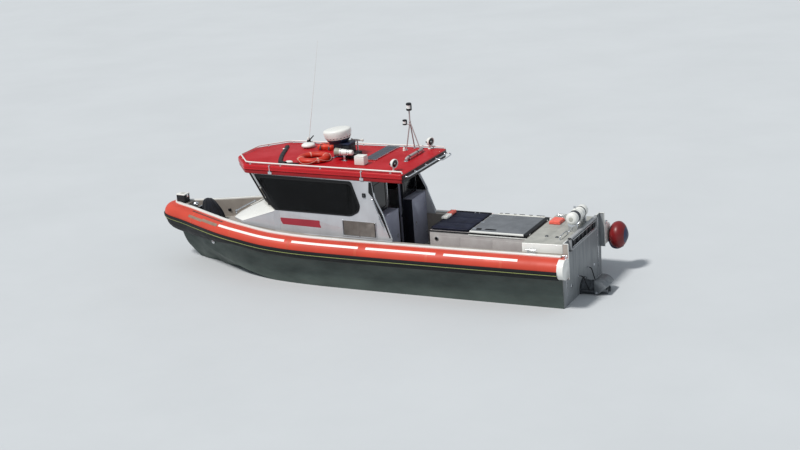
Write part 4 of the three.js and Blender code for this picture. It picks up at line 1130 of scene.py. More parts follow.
# The wings' inner faces aft are in the lilac grey: painted light and painted sky reflection, lighter than the
# shade they stand in.
walls.repaint(lambda c, n: n.y * c.y < -0.5 and c.x < -0.8, SKY_TINT_GREY_PAINT)
walls.done("boat", "cabin_aluminium", "cabin_side_port", "cabin_side_starboard")

for node in (
    "side_glass_port", "side_glass_starboard", "windscreen_port", "windscreen_centre", "windscreen_starboard",
    "bulkhead_glass_port", "bulkhead_glass_starboard",
):
    carry_over(node, GLASS)

# %% [markdown]
# On the sides are a louvred vent, a plain red stripe of vinyl with slanting ends, a small square fitting and
# a grab rail on the slanting aft edge of the wing, with two short ones on its face. The louvres are bevelled
# slats at an angle.

# %% Vents and stripe
def louvre(z):
    slat = box((-0.85, -0.01, -0.012), (-0.09, 0.006, 0.012), 0.002)
    return placed(slat, WALL_PIVOT @ shift((0, 1.0895, z)) @ turn(math.radians(-38), "X"))


VENT = rect(-0.88, 1.165, -0.06, 1.505)
vents = Piece("cabin_vents")
vents.both(tube([on_wall(x, 1.086, z) for x, z in VENT], 0.0105, closed=True, sides=3), CABIN_PAINT)
vents.both(wall_plate(rect(-0.87, 1.175, -0.07, 1.495), 1.0806, 1.083), CAST)
for k in range(13):
    vents.both(louvre(1.19 + 0.0242 * k), VENT_PAINT)
vents.both(wall_plate(rect(-0.482, 1.17, -0.458, 1.5), 1.083, 1.1, 0.002), VENT_PAINT)
for x in (-0.872, -0.068):
    for z in (1.172, 1.498):
        screw = shift(on_wall(x, 1.096, z)) @ turn(-QUARTER, "X")
        vents.both(turned([(0, 0.003), (0.006, 0.002), (0.008, 0), (0, 0)], 12, screw), STEEL)
vents.done("boat", "cabin_aluminium", "side_vent_port", "side_vent_starboard")

marks = Piece("side_stripes")
STRIPE = [(0.485, 1.282), (1.47, 1.29), (1.515, 1.365), (1.525, 1.436), (0.515, 1.442), (0.52, 1.365)]
marks.both(wall_plate(fillet(STRIPE, 0.02, 4), 1.0803, 1.0812), STRIPE_VINYL)
marks.done("boat", "red_paint")

# %% Wing rails and small fittings
wings = Piece("wing_grab_rails")
WING_EDGE = [(-1.225, 1.17), (-1.07, 1.6), (-1.045, 1.7), (-0.89, 2.02), (-0.855, 2.16)]


def outer_wing_rail(high, low):
    """A short rail on the wing's outer face, bent in to it at both ends."""
    high, low = Vector(high), Vector(low)
    ends = (high, high.lerp(low, 0.06), low.lerp(high, 0.06), low)
    path = smooth([on_wall(p.x, y, p.y) for p, y in zip(ends, (1.084, 1.112, 1.112, 1.084))], 6)
    return tube(path, 0.0125, sides=4)


wings.both(tube(smooth([on_wall(x - 0.02, 1.072, z) for x, z in WING_EDGE], 5), 0.0125, sides=4), STEEL)
wings.both(outer_wing_rail((-0.855, 2.04), (-0.953, 1.725)), STEEL)
wings.both(outer_wing_rail((-0.973, 1.65), (-1.06, 1.416)), STEEL)
for x, z in WING_EDGE[:-1:2]:
    wings.both(rod(on_wall(x - 0.02, 1.072, z), on_wall(x + 0.03, 1.06, z), 0.008), STEEL)
wings.done("boat", "bright_metal")

# Black sheets along the wing's slanting aft edge and on its inner face: painted shade for the deep shade
# under the roof's overhang.
WING_EDGE_SHADE_SHEET = [
    (-0.779, 2.385), (-0.767, 2.26), (-0.758, 2.157), (-0.85, 2.05), (-0.973, 1.717), (-1.131, 1.341),
    (-1.185, 1.19), (-1.213, 1.19), (-1.163, 1.35), (-1.058, 1.678), (-0.872, 2.04), (-0.837, 2.385),
]
WING_INNER_SHADE_SHEET = [
    (-0.828, 1.64), (-1.062, 1.64), (-1.04, 1.705), (-0.874, 2.035), (-0.84, 2.385), (-0.828, 2.385)
]
quarters = Piece("wing_shade_sheets")
quarters.both(wall_plate(WING_EDGE_SHADE_SHEET, 1.0802, 1.085, 0.001), FRIT)
quarters.both(wall_plate(WING_INNER_SHADE_SHEET, 1.029, 1.0345, 0.001), FRIT)
quarters.done("boat", "tinted_glass")

fixings = Piece("side_fittings")
fixings.both(
    wall_plate(fillet(rect(-0.685, 2.045, -0.605, 2.135), 0.012), 1.0805, 1.101, 0.004), BLACK_PLASTIC
)
fixings.both(wall_plate(fillet(rect(-0.662, 2.068, -0.628, 2.112), 0.008), 1.1, 1.104, 0.002), CAST)
fixings.done("boat", "black_plastic")

# %% [markdown]
# ## Windscreen
# Three flat panes lean forward between black pillars. Each pane has a rubber seal and a wiper that is
# parked low. The side window's black border runs on to the pillar, so that no wall shows between them.

# %% Windscreen frame
FEET = [(1.662, 0.968), (2.25, 0.4), (2.25, -0.4), (1.662, -0.968)]
HEADS = [(2.122, 0.9535), (2.71, 0.394), (2.71, -0.394), (2.122, -0.9535)]


def on_pane(i, s, t, lift=0.0):
    """A point of a pane: s runs from its port edge, t from its foot, lift stands off it."""
    foot, next_foot = (Vector((*FEET[k], SILL_Z)) for k in (i, i + 1))
    head, next_head = (Vector((*HEADS[k], ROOF_UNDER_Z)) for k in (i, i + 1))
    low, high = foot.lerp(next_foot, s), head.lerp(next_head, s)
    normal = (next_foot - foot).cross(high - low).normalized()
    if normal.x < 0:
        normal = -normal
    return low.lerp(high, t) + normal * lift


SEAL_IN = 0.07
screen = Piece("windscreen_surround")
screen.add(refined("windscreen_frame", 0.005, 2), RUBBER)
for i in range(3):
    ring = [on_pane(i, s, t, -0.012) for s, t in rect(SEAL_IN, SEAL_IN, 1 - SEAL_IN, 1 - SEAL_IN)]
    path = []
    for k, point in enumerate(ring):
        before, after = ((ring[n % 4] - point).normalized() * 0.05 for n in (k - 1, k + 1))
        path += [point + before, point + before * 0.3 + after * 0.3, point + after]
    screen.add(tube(path, 0.012, closed=True, sides=3), RUBBER)
screen.done("boat", "cabin_aluminium", "windscreen_frame")

wipers = Piece("wipers")
for i in range(3):
    pivot, tip = on_pane(i, 0.5, 0.035, 0.012), on_pane(i, 0.22, 0.3, 0.01)
    wipers.add(rod(pivot - (tip - pivot) * 0.04, tip, 0.008, 0.005), BLACK_PLASTIC)
    wipers.add(rod(on_pane(i, 0.5, 0.035, -0.005), on_pane(i, 0.5, 0.035, 0.026), 0.018), BLACK_PLASTIC)
    wipers.add(
        swept(
            [on_pane(i, 0.22 + 0.012 * k, 0.3 + 0.11 * (k - 2), 0.002) for k in range(5)],
            rect(-0.004, -0.008, 0.004, 0.01),
        ),
        RUBBER,
    )
wipers.done("boat", "black_plastic")

# %% [markdown]
# ## Aft bulkhead
# Its face is in a dark navy that is painted shade, for the deep shade under the roof. A bonded black border
# and a gasket frame each window. The sliding door has a window, a bar handle and a lock, and each wing locker
# has a lid with a lip, two hinges and a latch.

# %% Bulkhead, door and lockers
bulkhead = Piece("bulkhead_plate")
# The bulkhead plate is in the dark navy: painted shade.
bulkhead.add(refined("bulkhead", 0.004, 2), SHADE_NAVY_PAINT)
AFT_BORDER = fillet(rect(0.375, 1.635, 1.02, 2.392), 0.05, 5)
AFT_OPENING = fillet(rect(0.447, 1.702, 0.963, 2.278), 0.05, 5)
bulkhead.both(framed(AFT_BORDER, AFT_OPENING, -0.8262, -0.8202, STANDING), FRIT)
# A black sheet fills each window behind its glass: painted shade for the dark cabin beyond.
bulkhead.both(plate(AFT_OPENING, -0.8225, -0.8205, 0.0, STANDING), FRIT)
bulkhead.add(box((-0.832, 0.352, 1.66), (-0.8202, 0.37, 2.26), 0.003), STEEL)
bulkhead.add(box((-0.832, -0.37, 1.98), (-0.8202, -0.352, 2.26), 0.003), STEEL)
for side in (1, -1):
    ring = fillet(rect(side * 0.445, 1.7, side * 0.965, 2.28), 0.05, 5)
    bulkhead.add(tube([(-0.8205, y, z) for y, z in ring], 0.011, closed=True, sides=3), RUBBER)
path = [(-0.8215, -0.35, 0.5), (-0.8215, -0.35, 2.262), (-0.8215, 0.35, 2.262), (-0.8215, 0.35, 0.5)]
bulkhead.add(tube(path, 0.009), RUBBER)
bulkhead.done("boat", "cabin_aluminium", "bulkhead")

door = Piece("sliding_door")
# The door is in the lilac grey, whose tint is painted sky reflection.
door.add(refined("cabin_door", 0.004, 2), SKY_TINT_GREY_PAINT)
door_ring = fillet(rect(-0.93, 1.579, -0.385, 2.209), 0.045, 5)
door.add(tube([(-0.7725, y, z) for y, z in door_ring], 0.01, closed=True, sides=3), RUBBER)
# A black sheet fills the door's window: painted shade for the dark cabin behind it.
door.add(standing(rect(-0.932, 1.577, -0.383, 2.211), 0.04, -0.76, -0.752), FRIT)
path = [(-0.773, -0.345, 1.28), (-0.787, -0.345, 1.3), (-0.787, -0.345, 1.42), (-0.773, -0.345, 1.44)]
door.add(tube(smooth(path, 4), 0.007), STEEL)
door.add(standing(rect(-0.375, 1.2, -0.318, 1.26), 0.01, -0.778, -0.772, 0.002), BLACK_PLASTIC)
door.done("cabin_door", "cabin_aluminium", "cabin_door")

lockers = Piece("wing_lockers")
# The lockers are in the lilac grey, whose tint is painted sky reflection.
lockers.both(
    joined(
        box((-1.05, 0.3355, SOLE_Z), (-0.8208, 1.0345, 1.6), 0.008, 3),
        box((-1.058, 0.331, 1.596), (-0.8212, 1.0345, 1.6196), 0.006, 2),
        standing(rect(0.4, 0.56, 0.97, 1.5), 0.04, -1.056, -1.049, 0.003),
    ),
    SKY_TINT_GREY_PAINT,
)
# The lockers' sides that face the doorway are in the dark navy: painted shade.
lockers.repaint(lambda c, n: abs(n.y) > 0.9 and abs(c.y) < 0.36, SHADE_NAVY_PAINT)
lockers.both(standing(rect(0.445, 1.0, 0.475, 1.09), 0.01, -1.064, -1.055, 0.003), STEEL)
for z in (0.66, 1.3):
    lockers.both(rod((-1.06, 0.93, z), (-1.06, 0.93, z + 0.1), 0.007), STEEL)
lockers.done("boat", "cabin_aluminium", "wing_locker_port", "wing_locker_starboard")

# %% [markdown]
# ## Roof
# A painted fibreglass moulding. Its edge steps out in two bands with grooves between them, and its top is
# flat, with a well-rounded rim. Each band is the plan of the roof, extruded, with its rims rounded by a
# bevel.

# %% Roof moulding
ROOF_PLAN = [(-1.6, 1.125), (2.32, 1.015), (2.86, 0.395)]


def roof_outline(inset, corner=0.07, steps=6):
    aft, side, front = ROOF_PLAN
    half = [
        (aft[0] + inset, aft[1] - inset), (side[0] - inset / 2, side[1] - inset),
        (front[0] - inset, front[1] - inset / 2),
    ]
    return fillet(mirrored(half), corner, steps)


def roof_band(inset, z0, z1, top_round, under_round):
    shape = plate(roof_outline(inset), z0, z1)
    for z, width in ((z1, top_round), (z0, under_round)):
        rims = [e for e in shape.edges if all(abs(v.co.z - z) < 1e-5 for v in e.verts)]
        round_edges(shape, rims, width, 4)
    return shape


roof = Piece("roof_moulding")
# The lower band is in the darker red: painted shade under the band above it.
roof.add(roof_band(0.014, 2.4005, 2.478, 0.006, 0.02), LOW_BAND_SHADE_RED)
# The groove between the bands is in the dark red: painted shade.
roof.add(roof_band(0.032, 2.47, 2.5, 0.001, 0.001), GROOVE_SHADE_RED)
roof.add(roof_band(0.0, 2.49, 2.534, 0.004, 0.01), RED_PAINT)
roof.add(roof_band(0.007, 2.53, 2.545, 0.001, 0.001), RED_PAINT)
roof.add(roof_band(0.001, 2.541, 2.5992, 0.028, 0.003), RED_PAINT)
roof.repaint(lambda c, n: n.z > 0.95 and c.z > 2.59, ROOF_TOP_PAINT)
# The aft faces of the edge, below the top band, are painted black: painted shade, as they face away from the
# sun.
roof.repaint(lambda c, n: n.x < -0.75 and c.x < -1.5 and c.z < 2.562, BLACK_PLASTIC)
roof.add(tile([(-1.5, -1.0), (-0.62, -0.96), (-0.62, 0.96), (-1.5, 1.0)], 0.05, 2.3985, 2.4012), WHITE_PAINT)
roof.done("boat", "red_paint", "roof", sharp=40)

# %% Roof rail
RAIL_HALF = [
    (-1.575, 1.055), (-1.56, 1.06), (-1.4, 1.062), (-0.6, 1.038), (0.4, 1.01), (1.4, 0.98), (2.18, 0.955),
    (2.3, 0.925), (2.62, 0.56), (2.77, 0.385),
]
RAIL_Z = 2.645
roof_rail = Piece("roof_side_rail")
half_rail = [(x, y, RAIL_Z if x > -1.57 else 2.602) for x, y in RAIL_HALF]
roof_rail.add(tube(mirrored(half_rail), 0.0155, sides=4), WHITE_PAINT)
for x, y in ((-1.3, 1.059), *RAIL_HALF[3:7], RAIL_HALF[8]):
    roof_rail.both(rod((x, y, 2.6), (x, y, RAIL_Z), 0.01, sides=12), GREY_PLASTIC)
    roof_rail.both(turned(disc(0.006, 0.02, 0.026, 0.001), 20, shift((x, y, 2.5995))), STEEL)
roof_rail.done("boat", "bright_metal", "roof_rail")

aft_rail = Piece("roof_aft_rail")
aft_bar = [(-1.6005, 0.96, 2.52), (-1.645, 0.955, 2.52), (-1.656, 0.9, 2.52)]
aft_rail.add(tube(smooth(mirrored(aft_bar), 6), 0.0135, sides=4), STEEL)
for y in (0.52, 0, -0.52):
    aft_rail.add(rod((-1.602, y, 2.52), (-1.656, y, 2.52), 0.01), STEEL)
for y in (0.958, -0.958, 0.52, 0, -0.52):
    aft_rail.add(
        turned(disc(0.008, 0.02, 0.026, 0.002), 20, shift((-1.6, y, 2.52)) @ turn(-QUARTER, "Y")), STEEL
    )
corner_loop = [
    (-1.598, -0.62, 2.468), (-1.69, -0.64, 2.466), (-1.725, -0.7, 2.468), (-1.725, -1.02, 2.48),
    (-1.69, -1.085, 2.492), (-1.598, -1.1, 2.5),
]
aft_rail.add(tube(smooth(corner_loop, 6), 0.0125, sides=4), STEEL)
aft_rail.done("boat", "black_plastic", "aft_grab_rail")

# %% [markdown]
# Awning brackets in cast steel hang on the roof's edge, and a low curved spoiler of dark moulding crosses the
# roof's front with a flush white fitting at its port end.

# %% Fittings on the roof's edge
edge = Piece("roof_brackets")


def bracket(x, y):
    return joined(
        box((x - 0.045, y - 0.006, 2.415), (x + 0.045, y + 0.01, 2.475), 0.004),
        rod((x, y + 0.012, 2.44), (x, y + 0.012, 2.6), 0.012, 0.009),
        box((x - 0.02, y - 0.03, 2.598), (x + 0.02, y + 0.022, 2.61), 0.004),
    )


edge.both(bracket(1.66, 1.022), STEEL)
edge.both(bracket(-0.62, 1.086), STEEL)
edge.done("boat", "bright_metal")

spoiler = Piece("roof_front_spoiler")
arc = smooth(
    [
        (2.13, -0.57, 2.6), (1.98, -0.2, 2.6), (1.82, 0.2, 2.6), (1.64, 0.57, 2.6), (1.53, 0.74, 2.6),
        (1.38, 0.79, 2.6),
    ],
    7,
)
SPOILER_SECTION = [(-0.05, 0.0), (0.05, 0.0), (0.042, 0.03), (0.012, 0.046), (-0.03, 0.044), (-0.046, 0.022)]
spoiler.add(swept(arc, SPOILER_SECTION), BLACK_PLASTIC)
tail = smooth([(1.39, 0.79, 2.6), (1.22, 0.75, 2.6), (1.08, 0.74, 2.6)], 7)
spoiler.add(swept(tail, [(-0.026, 0.0), (0.026, 0.0), (0.02, 0.022), (-0.02, 0.022)]), BLACK_PLASTIC)
profile = [(0, 0.035), (0.05, 0.033), (0.068, 0.022), (0.075, 0), (0, 0)]
spoiler.add(
    turned(profile, 32, shift((1.37, 0.655, 2.6)) @ Matrix.Diagonal((1.25, 0.8, 1, 1))), WHITE_PLASTIC
)
spoiler.add(
    turned([(0, 0.012), (0.022, 0.009), (0.03, 0), (0, 0)], 24, shift((2.045, -0.27, 2.638))), WHITE_PLASTIC
)
spoiler.done("boat", "black_rubber")

# %% [markdown]
# ## Roof gear
# The radar stands on a navy moulded stand with a wedge under it. The radome is a turned shell in two halves
# with a seam between them and a row of slots, tilted forward. A horn, a T-shaped post, a small box, a solar
# panel, lamps and a mast on three legs stand round it.

# %% Radar
ROOF_Z = 2.6004
ON_ROOF = shift((0, 0, ROOF_Z))
radome = Piece("radome_shell", ON_ROOF)
dome_profile = [
    (0, 0.0005), (0.225, 0.0005), (0.258, 0.006), (0.277, 0.027), (0.29, 0.062), (0.298, 0.1),
    (0.2955, 0.103), (0.2955, 0.108), (0.3015, 0.111), (0.308, 0.15), (0.3085, 0.18), (0.302, 0.2),
    (0.289, 0.213), (0.262, 0.223), (0.2, 0.229), (0.1, 0.232), (0, 0.234),
]
radar_place = shift((0.46, 0, 0.41)) @ turn(math.radians(6), "Y")
radome.add(turned(dome_profile, 64, radar_place), WHITE_PLASTIC)
for k in range(22):
    slot_place = radar_place @ turn(k * math.pi / 11, "Z") @ shift((0.2825, 0, 0.045))
    radome.add(box((-0.004, -0.018, -0.006), (0.0035, 0.018, 0.006), 0.002), BLACK_PLASTIC, slot_place)
radome.done("boat", "white_plastic", "radome")

stand = Piece("radar_stand", ON_ROOF)
stand.add(tile(rect(0.11, -0.165, 0.63, 0.165), 0.06, 0.302, 0.348, 0.01), NAVY_PLASTIC)
stand.add(box((0.125, -0.15, 0.002), (0.33, 0.15, 0.31), 0.024, 3), BLACK_PLASTIC)
stand.add(box((-0.045, -0.11, 0.002), (0.13, 0.13, 0.135), 0.02, 3), BLACK_PLASTIC)
stand.add(box((0.3, -0.09, 0.002), (0.56, 0.09, 0.31), 0.018, 3), NAVY_PLASTIC)
for z in (0.07, 0.13, 0.19, 0.25):
    stand.both(box((0.15, 0.149, z), (0.29, 0.153, z + 0.022), 0.0015), CAST)
wedge_profile = [(0, -0.08), (0.19, -0.08), (0.205, -0.07), (0.258, -0.012), (0.258, -0.001), (0, -0.001)]
stand.add(turned(wedge_profile, 40, radar_place), NAVY_PLASTIC)
for x in (-0.01, 0.545):
    stand.both(box((x - 0.034, 0.07, 0.0005), (x + 0.034, 0.162, 0.012), 0.003), STEEL)
for k in range(4):
    stand.add(box((0.121, -0.1, 0.145 + 0.036 * k), (0.126, 0.1, 0.16 + 0.036 * k), 0.002), CAST)
stand.done("boat", "navy_plastic", "radar_pedestal")

# %% Horn, post and box
horn = Piece("hailer_horn", ON_ROOF)
along_x = shift((0.18, 0.3, 0.19)) @ turn(QUARTER, "Y")
horn_profile = [
    (0, -0.214), (0.045, -0.212), (0.056, -0.2), (0.06, -0.12), (0.064, -0.04), (0.07, 0.03), (0.077, 0.09),
    (0.083, 0.15), (0.087, 0.2), (0.0885, 0.211), (0.084, 0.212), (0.072, 0.185), (0.05, 0.14), (0.03, 0.11),
    (0, 0.106),
]
horn.add(turned(horn_profile, 40, along_x), WHITE_PLASTIC)
# The horn's front end, with its bell, is in the olive grey.
horn.repaint(lambda c, n: c.x > 0.255, OLIVE_PLASTIC)
for z, r in ((-0.135, 0.059), (-0.095, 0.061), (0.055, 0.073)):
    horn.add(turned(rect(r, z, r + 0.0065, z + 0.016), 40, along_x), STEEL)
horn.add(box((0.155, 0.28, 0.01), (0.205, 0.32, 0.125), 0.006), STEEL)
horn.add(box((0.122, 0.257, 0.0005), (0.238, 0.343, 0.012), 0.004), STEEL)
horn.done("boat", "grey_plastic", "hailer")

post = Piece("antenna_t_post", ON_ROOF)
post.add(rod((0.2, -0.36, 0), (0.2, -0.36, 0.29), 0.0175), WHITE_PLASTIC)
post.add(rod((0.065, -0.36, 0.3), (0.335, -0.36, 0.3), 0.0195), WHITE_PLASTIC)
for x in (0.065, 0.335):
    profile = [(0, 0.03), (0.018, 0.026), (0.026, 0.01), (0.026, -0.012), (0.018, -0.028), (0, -0.03)]
    post.add(turned(profile, 24, shift((x, -0.36, 0.302))), WHITE_PLASTIC)
post.add(turned(disc(0.012, 0.034, 0.044, 0.004, 0.0005), 28, shift((0.2, -0.36, 0))), STEEL)
post.done("boat", "white_paint", "antenna_post")

gear_box = Piece("roof_junction_box", ON_ROOF)
gear_box.add(box((-0.449, 0.401, 0.001), (-0.211, 0.599, 0.176), 0.014, 4), WHITE_PLASTIC)
gear_box.add(box((-0.446, 0.404, 0.178), (-0.214, 0.596, 0.1992), 0.008, 3), WHITE_PLASTIC)
gear_box.add(box((-0.212, 0.44, 0.04), (-0.204, 0.56, 0.13), 0.003), GREY_PLASTIC)
gear_box.add(rod((-0.33, 0.4, 0.05), (-0.33, 0.375, 0.05), 0.012), BLACK_PLASTIC)
path = [
    (-0.33, 0.378, 0.05), (-0.33, 0.34, 0.035), (-0.3, 0.28, 0.007), (-0.1, 0.2, 0.007), (0.06, 0.09, 0.007)
]
gear_box.add(tube(smooth(path, 6), 0.006), BLACK_PLASTIC)
gear_box.done("boat", "white_paint", "roof_box")

# %% Solar panel
solar = Piece("solar_panel", ON_ROOF)
solar.add(box((-0.51, -1.0, 0.004), (-0.21, 0.18, 0.031), 0.004), STEEL)
solar.add(box((-0.502, -0.992, 0.03), (-0.218, 0.172, 0.0335), 0.001), SOLAR)
for k in range(7):
    y = -0.99 + 0.1655 * k
    for j in range(2):
        x = -0.498 + 0.1405 * j
        solar.add(tile(rect(x, y, x + 0.136, y + 0.16), 0.012, 0.033, 0.0342, steps=2), SOLAR)
for y in (-0.9, -0.4, 0.1):
    solar.add(box((-0.515, y - 0.02, 0), (-0.205, y + 0.02, 0.008), 0.002), STEEL)
solar.done("boat", "dark_panel", "roof_panel")

# %% Lamps and mast
lamps = Piece("floodlights", ON_ROOF)
for x, y in ((-1.29, 0.88), (-1.24, -1.0)):
    place = shift((x, y, 0))
    head = place @ shift((0, 0, 0.172)) @ turn(-0.1, "Y") @ turn(math.pi / 2 - 0.3, "Z") @ turn(-QUARTER, "X")
    profile = [
        (0, -0.058), (0.03, -0.056), (0.052, -0.044), (0.08, -0.012), (0.094, 0.01), (0.0985, 0.052),
        (0.094, 0.0595), (0.082, 0.058), (0.08, 0.046), (0.074, 0.04), (0, 0.04),
    ]
    lamps.add(turned(profile, 40, head), WHITE_PLASTIC)
    lamps.add(turned(disc(0.048, 0.07, 0.0785, 0.043, 0.036), 40, head), DARK_LENS)
    lamps.add(turned(rect(0, 0.05, 0.014, 0.04), 20, head), STEEL)
    lamps.add(rod((x, y, 0), (x, y, 0.1), 0.02, 0.016), WHITE_PLASTIC)
    lamps.add(turned(disc(0.014, 0.03, 0.041, 0.006, 0.0005), 28, place), WHITE_PLASTIC)
    for side in (-1, 1):
        lamps.add(
            rod(head @ Vector((0.097 * side, 0, 0)), head @ Vector((0.104 * side, 0, 0)), 0.016),
            BLACK_PLASTIC,
        )
lamps.done("boat", "white_plastic", "floodlight_port", "floodlight_starboard")

mast = Piece("lamp_mast", shift((-0.85, -0.9, ROOF_Z)))
for x, y in ((0.08, 0.1), (-0.26, 0.09), (-0.03, -0.09)):
    mast.add(rod((x, y, 0.006), (0, 0, 0.62), 0.0135), MAST_PAINT)
    mast.add(turned(disc(0.012, 0.028, 0.037, 0.004, 0.0005), 24, shift((x, y, 0))), STEEL)
mast.add(rod((0, 0, 0.59), (0, 0, 0.9), 0.0155), MAST_PAINT)
profile = [(0, 0.02), (0.022, 0.016), (0.028, 0), (0.022, -0.02), (0, -0.03)]
mast.add(turned(profile, 24, shift((0, 0, 0.62))), MAST_PAINT)


def nav_lamp(at, radius, low, high):
    """A lamp with a black base and lid, a ribbed lens between them and a shade at one side."""
    tall = high - low
    foot = [(0, 0), (0.8, 0), (1, 0.06), (1, 0.24), (0.86, 0.27), (0, 0.27)]
    ribs = [(r, 0.26 + 0.07 * k + z) for k in range(7) for r, z in ((0.8, 0), (0.84, 0.035))]
    lid = [(0, 0.74), (0.9, 0.74), (1, 0.78), (0.97, 0.94), (0.7, 1), (0, 1)]
    for part, material in (
        (foot, BLACK_PLASTIC), ([(0, 0.25), *ribs, (0, 0.76)], LENS), (lid, BLACK_PLASTIC)
    ):
        mast.add(turned([(radius * r, low + tall * z) for r, z in part], 32, shift(at)), material)
    z0, z1 = low + tall * 0.2, low + tall * 0.8
    shade = box((-radius * 0.98, -radius * 0.35, z0), (-radius * 0.86, radius * 0.35, z1), 0.003)
    mast.add(shade, BLACK_PLASTIC, shift(at))


nav_lamp((0, 0, 0), 0.062, 0.87, 1.04)
mast.add(rod((0, 0, 0.56), (0.11, 0, 0.56), 0.0115), MAST_PAINT)
nav_lamp((0.125, 0, 0), 0.052, 0.542, 0.66)
cover_bar = smooth(
    [
        (-0.26, 0.09, 0.03), (-0.3, 0.13, 0.05), (-0.34, 0.2, 0.062), (-0.35, 0.45, 0.066),
        (-0.35, 0.8, 0.066), (-0.345, 0.95, 0.055), (-0.34, 0.985, 0.03),
    ],
    5,
)
mast.add(tube(cover_bar, 0.032, sides=4), MAST_PAINT)
for share in (0.25, 0.5, 0.75):
    at = cover_bar[round(share * (len(cover_bar) - 1))]
    mast.add(box(at + Vector((-0.038, -0.016, -0.066)), at + Vector((0.038, 0.016, -0.01)), 0.004), STEEL)
    mast.add(rod(at + Vector((0, -0.015, 0)), at + Vector((0, 0.015, 0)), 0.036, sides=24), RUBBER)
mast.add(turned(disc(0.012, 0.04, 0.049, 0.004, 0.0005), 24, shift((-0.34, 0.99, 0))), STEEL)
profile = [(0, 0.075), (0.02, 0.07), (0.03, 0.05), (0.03, 0.014), (0.034, 0.012), (0.034, 0), (0, 0)]
mast.add(turned(profile, 24, shift((0.105, 0.16, 0))), WHITE_PLASTIC)
mast.done("boat", "bright_metal", "mast")

# %% [markdown]
# The satellite dome is a low turned shell. The whip antenna stands in a ratchet base: two ears, a knurled
# knob and a lever. The whip itself is a tapered fibreglass rod with a bright ferrule, and it turns with its
# own body.

# %% Dome and whip
dome = Piece("satnav_dome_shell")
dome_at = shift((1.61, -0.62, ROOF_Z))
profile = [
    (0, 0.0005), (0.08, 0.0005), (0.082, 0.012), (0.12, 0.016), (0.15, 0.03), (0.1545, 0.046), (0.1545, 0.06),
    (0.146, 0.076), (0.122, 0.092), (0.08, 0.104), (0, 0.109),
]
dome.add(turned(profile, 56, dome_at), WHITE_PLASTIC)
dome.add(turned(rect(0.15, 0.04, 0.1562, 0.045), 56, dome_at), GREY_PLASTIC)
dome.done("boat", "white_plastic", "satnav_dome")

PIVOT = Vector((1.75, -0.9, 2.6624))
base = Piece("antenna_ratchet")
base_at = shift((1.75, -0.9, ROOF_Z))
profile = [(0, 0.024), (0.054, 0.024), (0.062, 0.018), (0.067, 0.006), (0.067, 0.0005), (0, 0.0005)]
base.add(turned(profile, 36, base_at), WHITE_PLASTIC)
for y in (0.017, -0.035):
    base.add(box((-0.032, y, 0.012), (0.032, y + 0.018, 0.104), 0.008, 3), BLACK_PLASTIC, base_at)
base.add(rod(PIVOT + Vector((0, -0.045, 0)), PIVOT + Vector((0, 0.045, 0)), 0.0065), STEEL)
base.add(rod(PIVOT + Vector((0, 0.036, 0)), PIVOT + Vector((0, 0.06, 0)), 0.026, sides=20), BLACK_PLASTIC)
base.add(
    rod(PIVOT + Vector((0.012, 0.056, -0.01)), PIVOT + Vector((-0.165, 0.056, 0.155)), 0.017, 0.012),
    BLACK_PLASTIC,
)
base.add(
    turned(knob(0.034, 0.022, 0.028, 0.03), 20, shift(PIVOT + Vector((-0.03, 0.064, 0.085)))), WHITE_PLASTIC
)
base.done("boat", "black_plastic", "antenna_base")

whip = Piece("whip_rod")
lean = shift(PIVOT) @ turn(-0.195, "Y")
profile = [
    (0, 0.008), (0.0088, 0.008), (0.0088, 0.09), (0.0066, 0.11), (0.0062, 0.4), (0.0048, 1.4), (0.0026, 2.36),
    (0.0028, 2.372), (0.0018, 2.379), (0, 2.379),
]
whip.add(turned(profile, 16, lean), WHITE_PLASTIC)
whip.add(turned([(0.0086, 0.012), (0.0092, 0.014), (0.0092, 0.085), (0.0086, 0.088)], 20, lean), STEEL)
whip.done("whip", "grey_plastic", "whip_antenna")

# %% [markdown]
# ## Lifebuoy
# The ring is a spun oval section in coated foam, a little flat underneath. Four pale bands wrap it, and a
# grab line is fixed at each band and hangs in shallow loops between them.

# %% Lifebuoy
ring_piece = Piece("lifebuoy_ring")
RING_AT = Vector((0.89, 0.4, ROOF_Z))
RING_R, RING_W, RING_H = 0.288, 0.082, 0.0605


def ring_section(grow, steps=22):
    points = []
    for k in range(steps):
        a = 2 * math.pi * k / steps
        squash = 1.0 if math.sin(a) > 0 else 0.92
        points.append(
            (RING_R + (RING_W + grow) * math.cos(a), RING_H + (RING_H + grow) * math.sin(a) * squash)
        )
    return points


def ring_arc(grow, start, sweep, steps):
    """Part of the ring as a closed loft, from one angle on through a sweep."""
    rings = []
    for k in range(steps + 1):
        a = start + sweep * k / steps
        rings.append([RING_AT + Vector((r * math.cos(a), r * math.sin(a), h)) for r, h in ring_section(grow)])
    return lofted(rings)


foam = ring_section(0)
ring_piece.add(turned(foam + foam[:1], 96, shift(RING_AT)), BUOY_RED)
for k in range(4):
    a = math.pi / 4 + k * math.pi / 2
    ring_piece.add(ring_arc(0.0022, a - 0.055, 0.11, 4), BAND_CLOTH)
line_points = []
for k in range(48):
    a = math.pi / 4 + k * 2 * math.pi / 48
    slack = abs(math.sin((a - math.pi / 4) * 2))
    reach = RING_R + RING_W * 0.8 + 0.042 * slack
    line_points.append(RING_AT + Vector((reach * math.cos(a), reach * math.sin(a), 0.106 - 0.082 * slack)))
ring_piece.add(tube(smooth(line_points, 3, closed=True), 0.0055, closed=True), BAND_CLOTH)
ring_piece.done("boat", "orange_fabric", "lifebuoy")

# %% [markdown]
# ## Engine box and hatch
# The box is folded plate with pressed panels, a pipe outlet in its side and a row of vents aft. The hatch is
# a gritted panel in a white frame, with a dark seal, hinges at its front edge and a pull: a black plate with
# a bar over it.

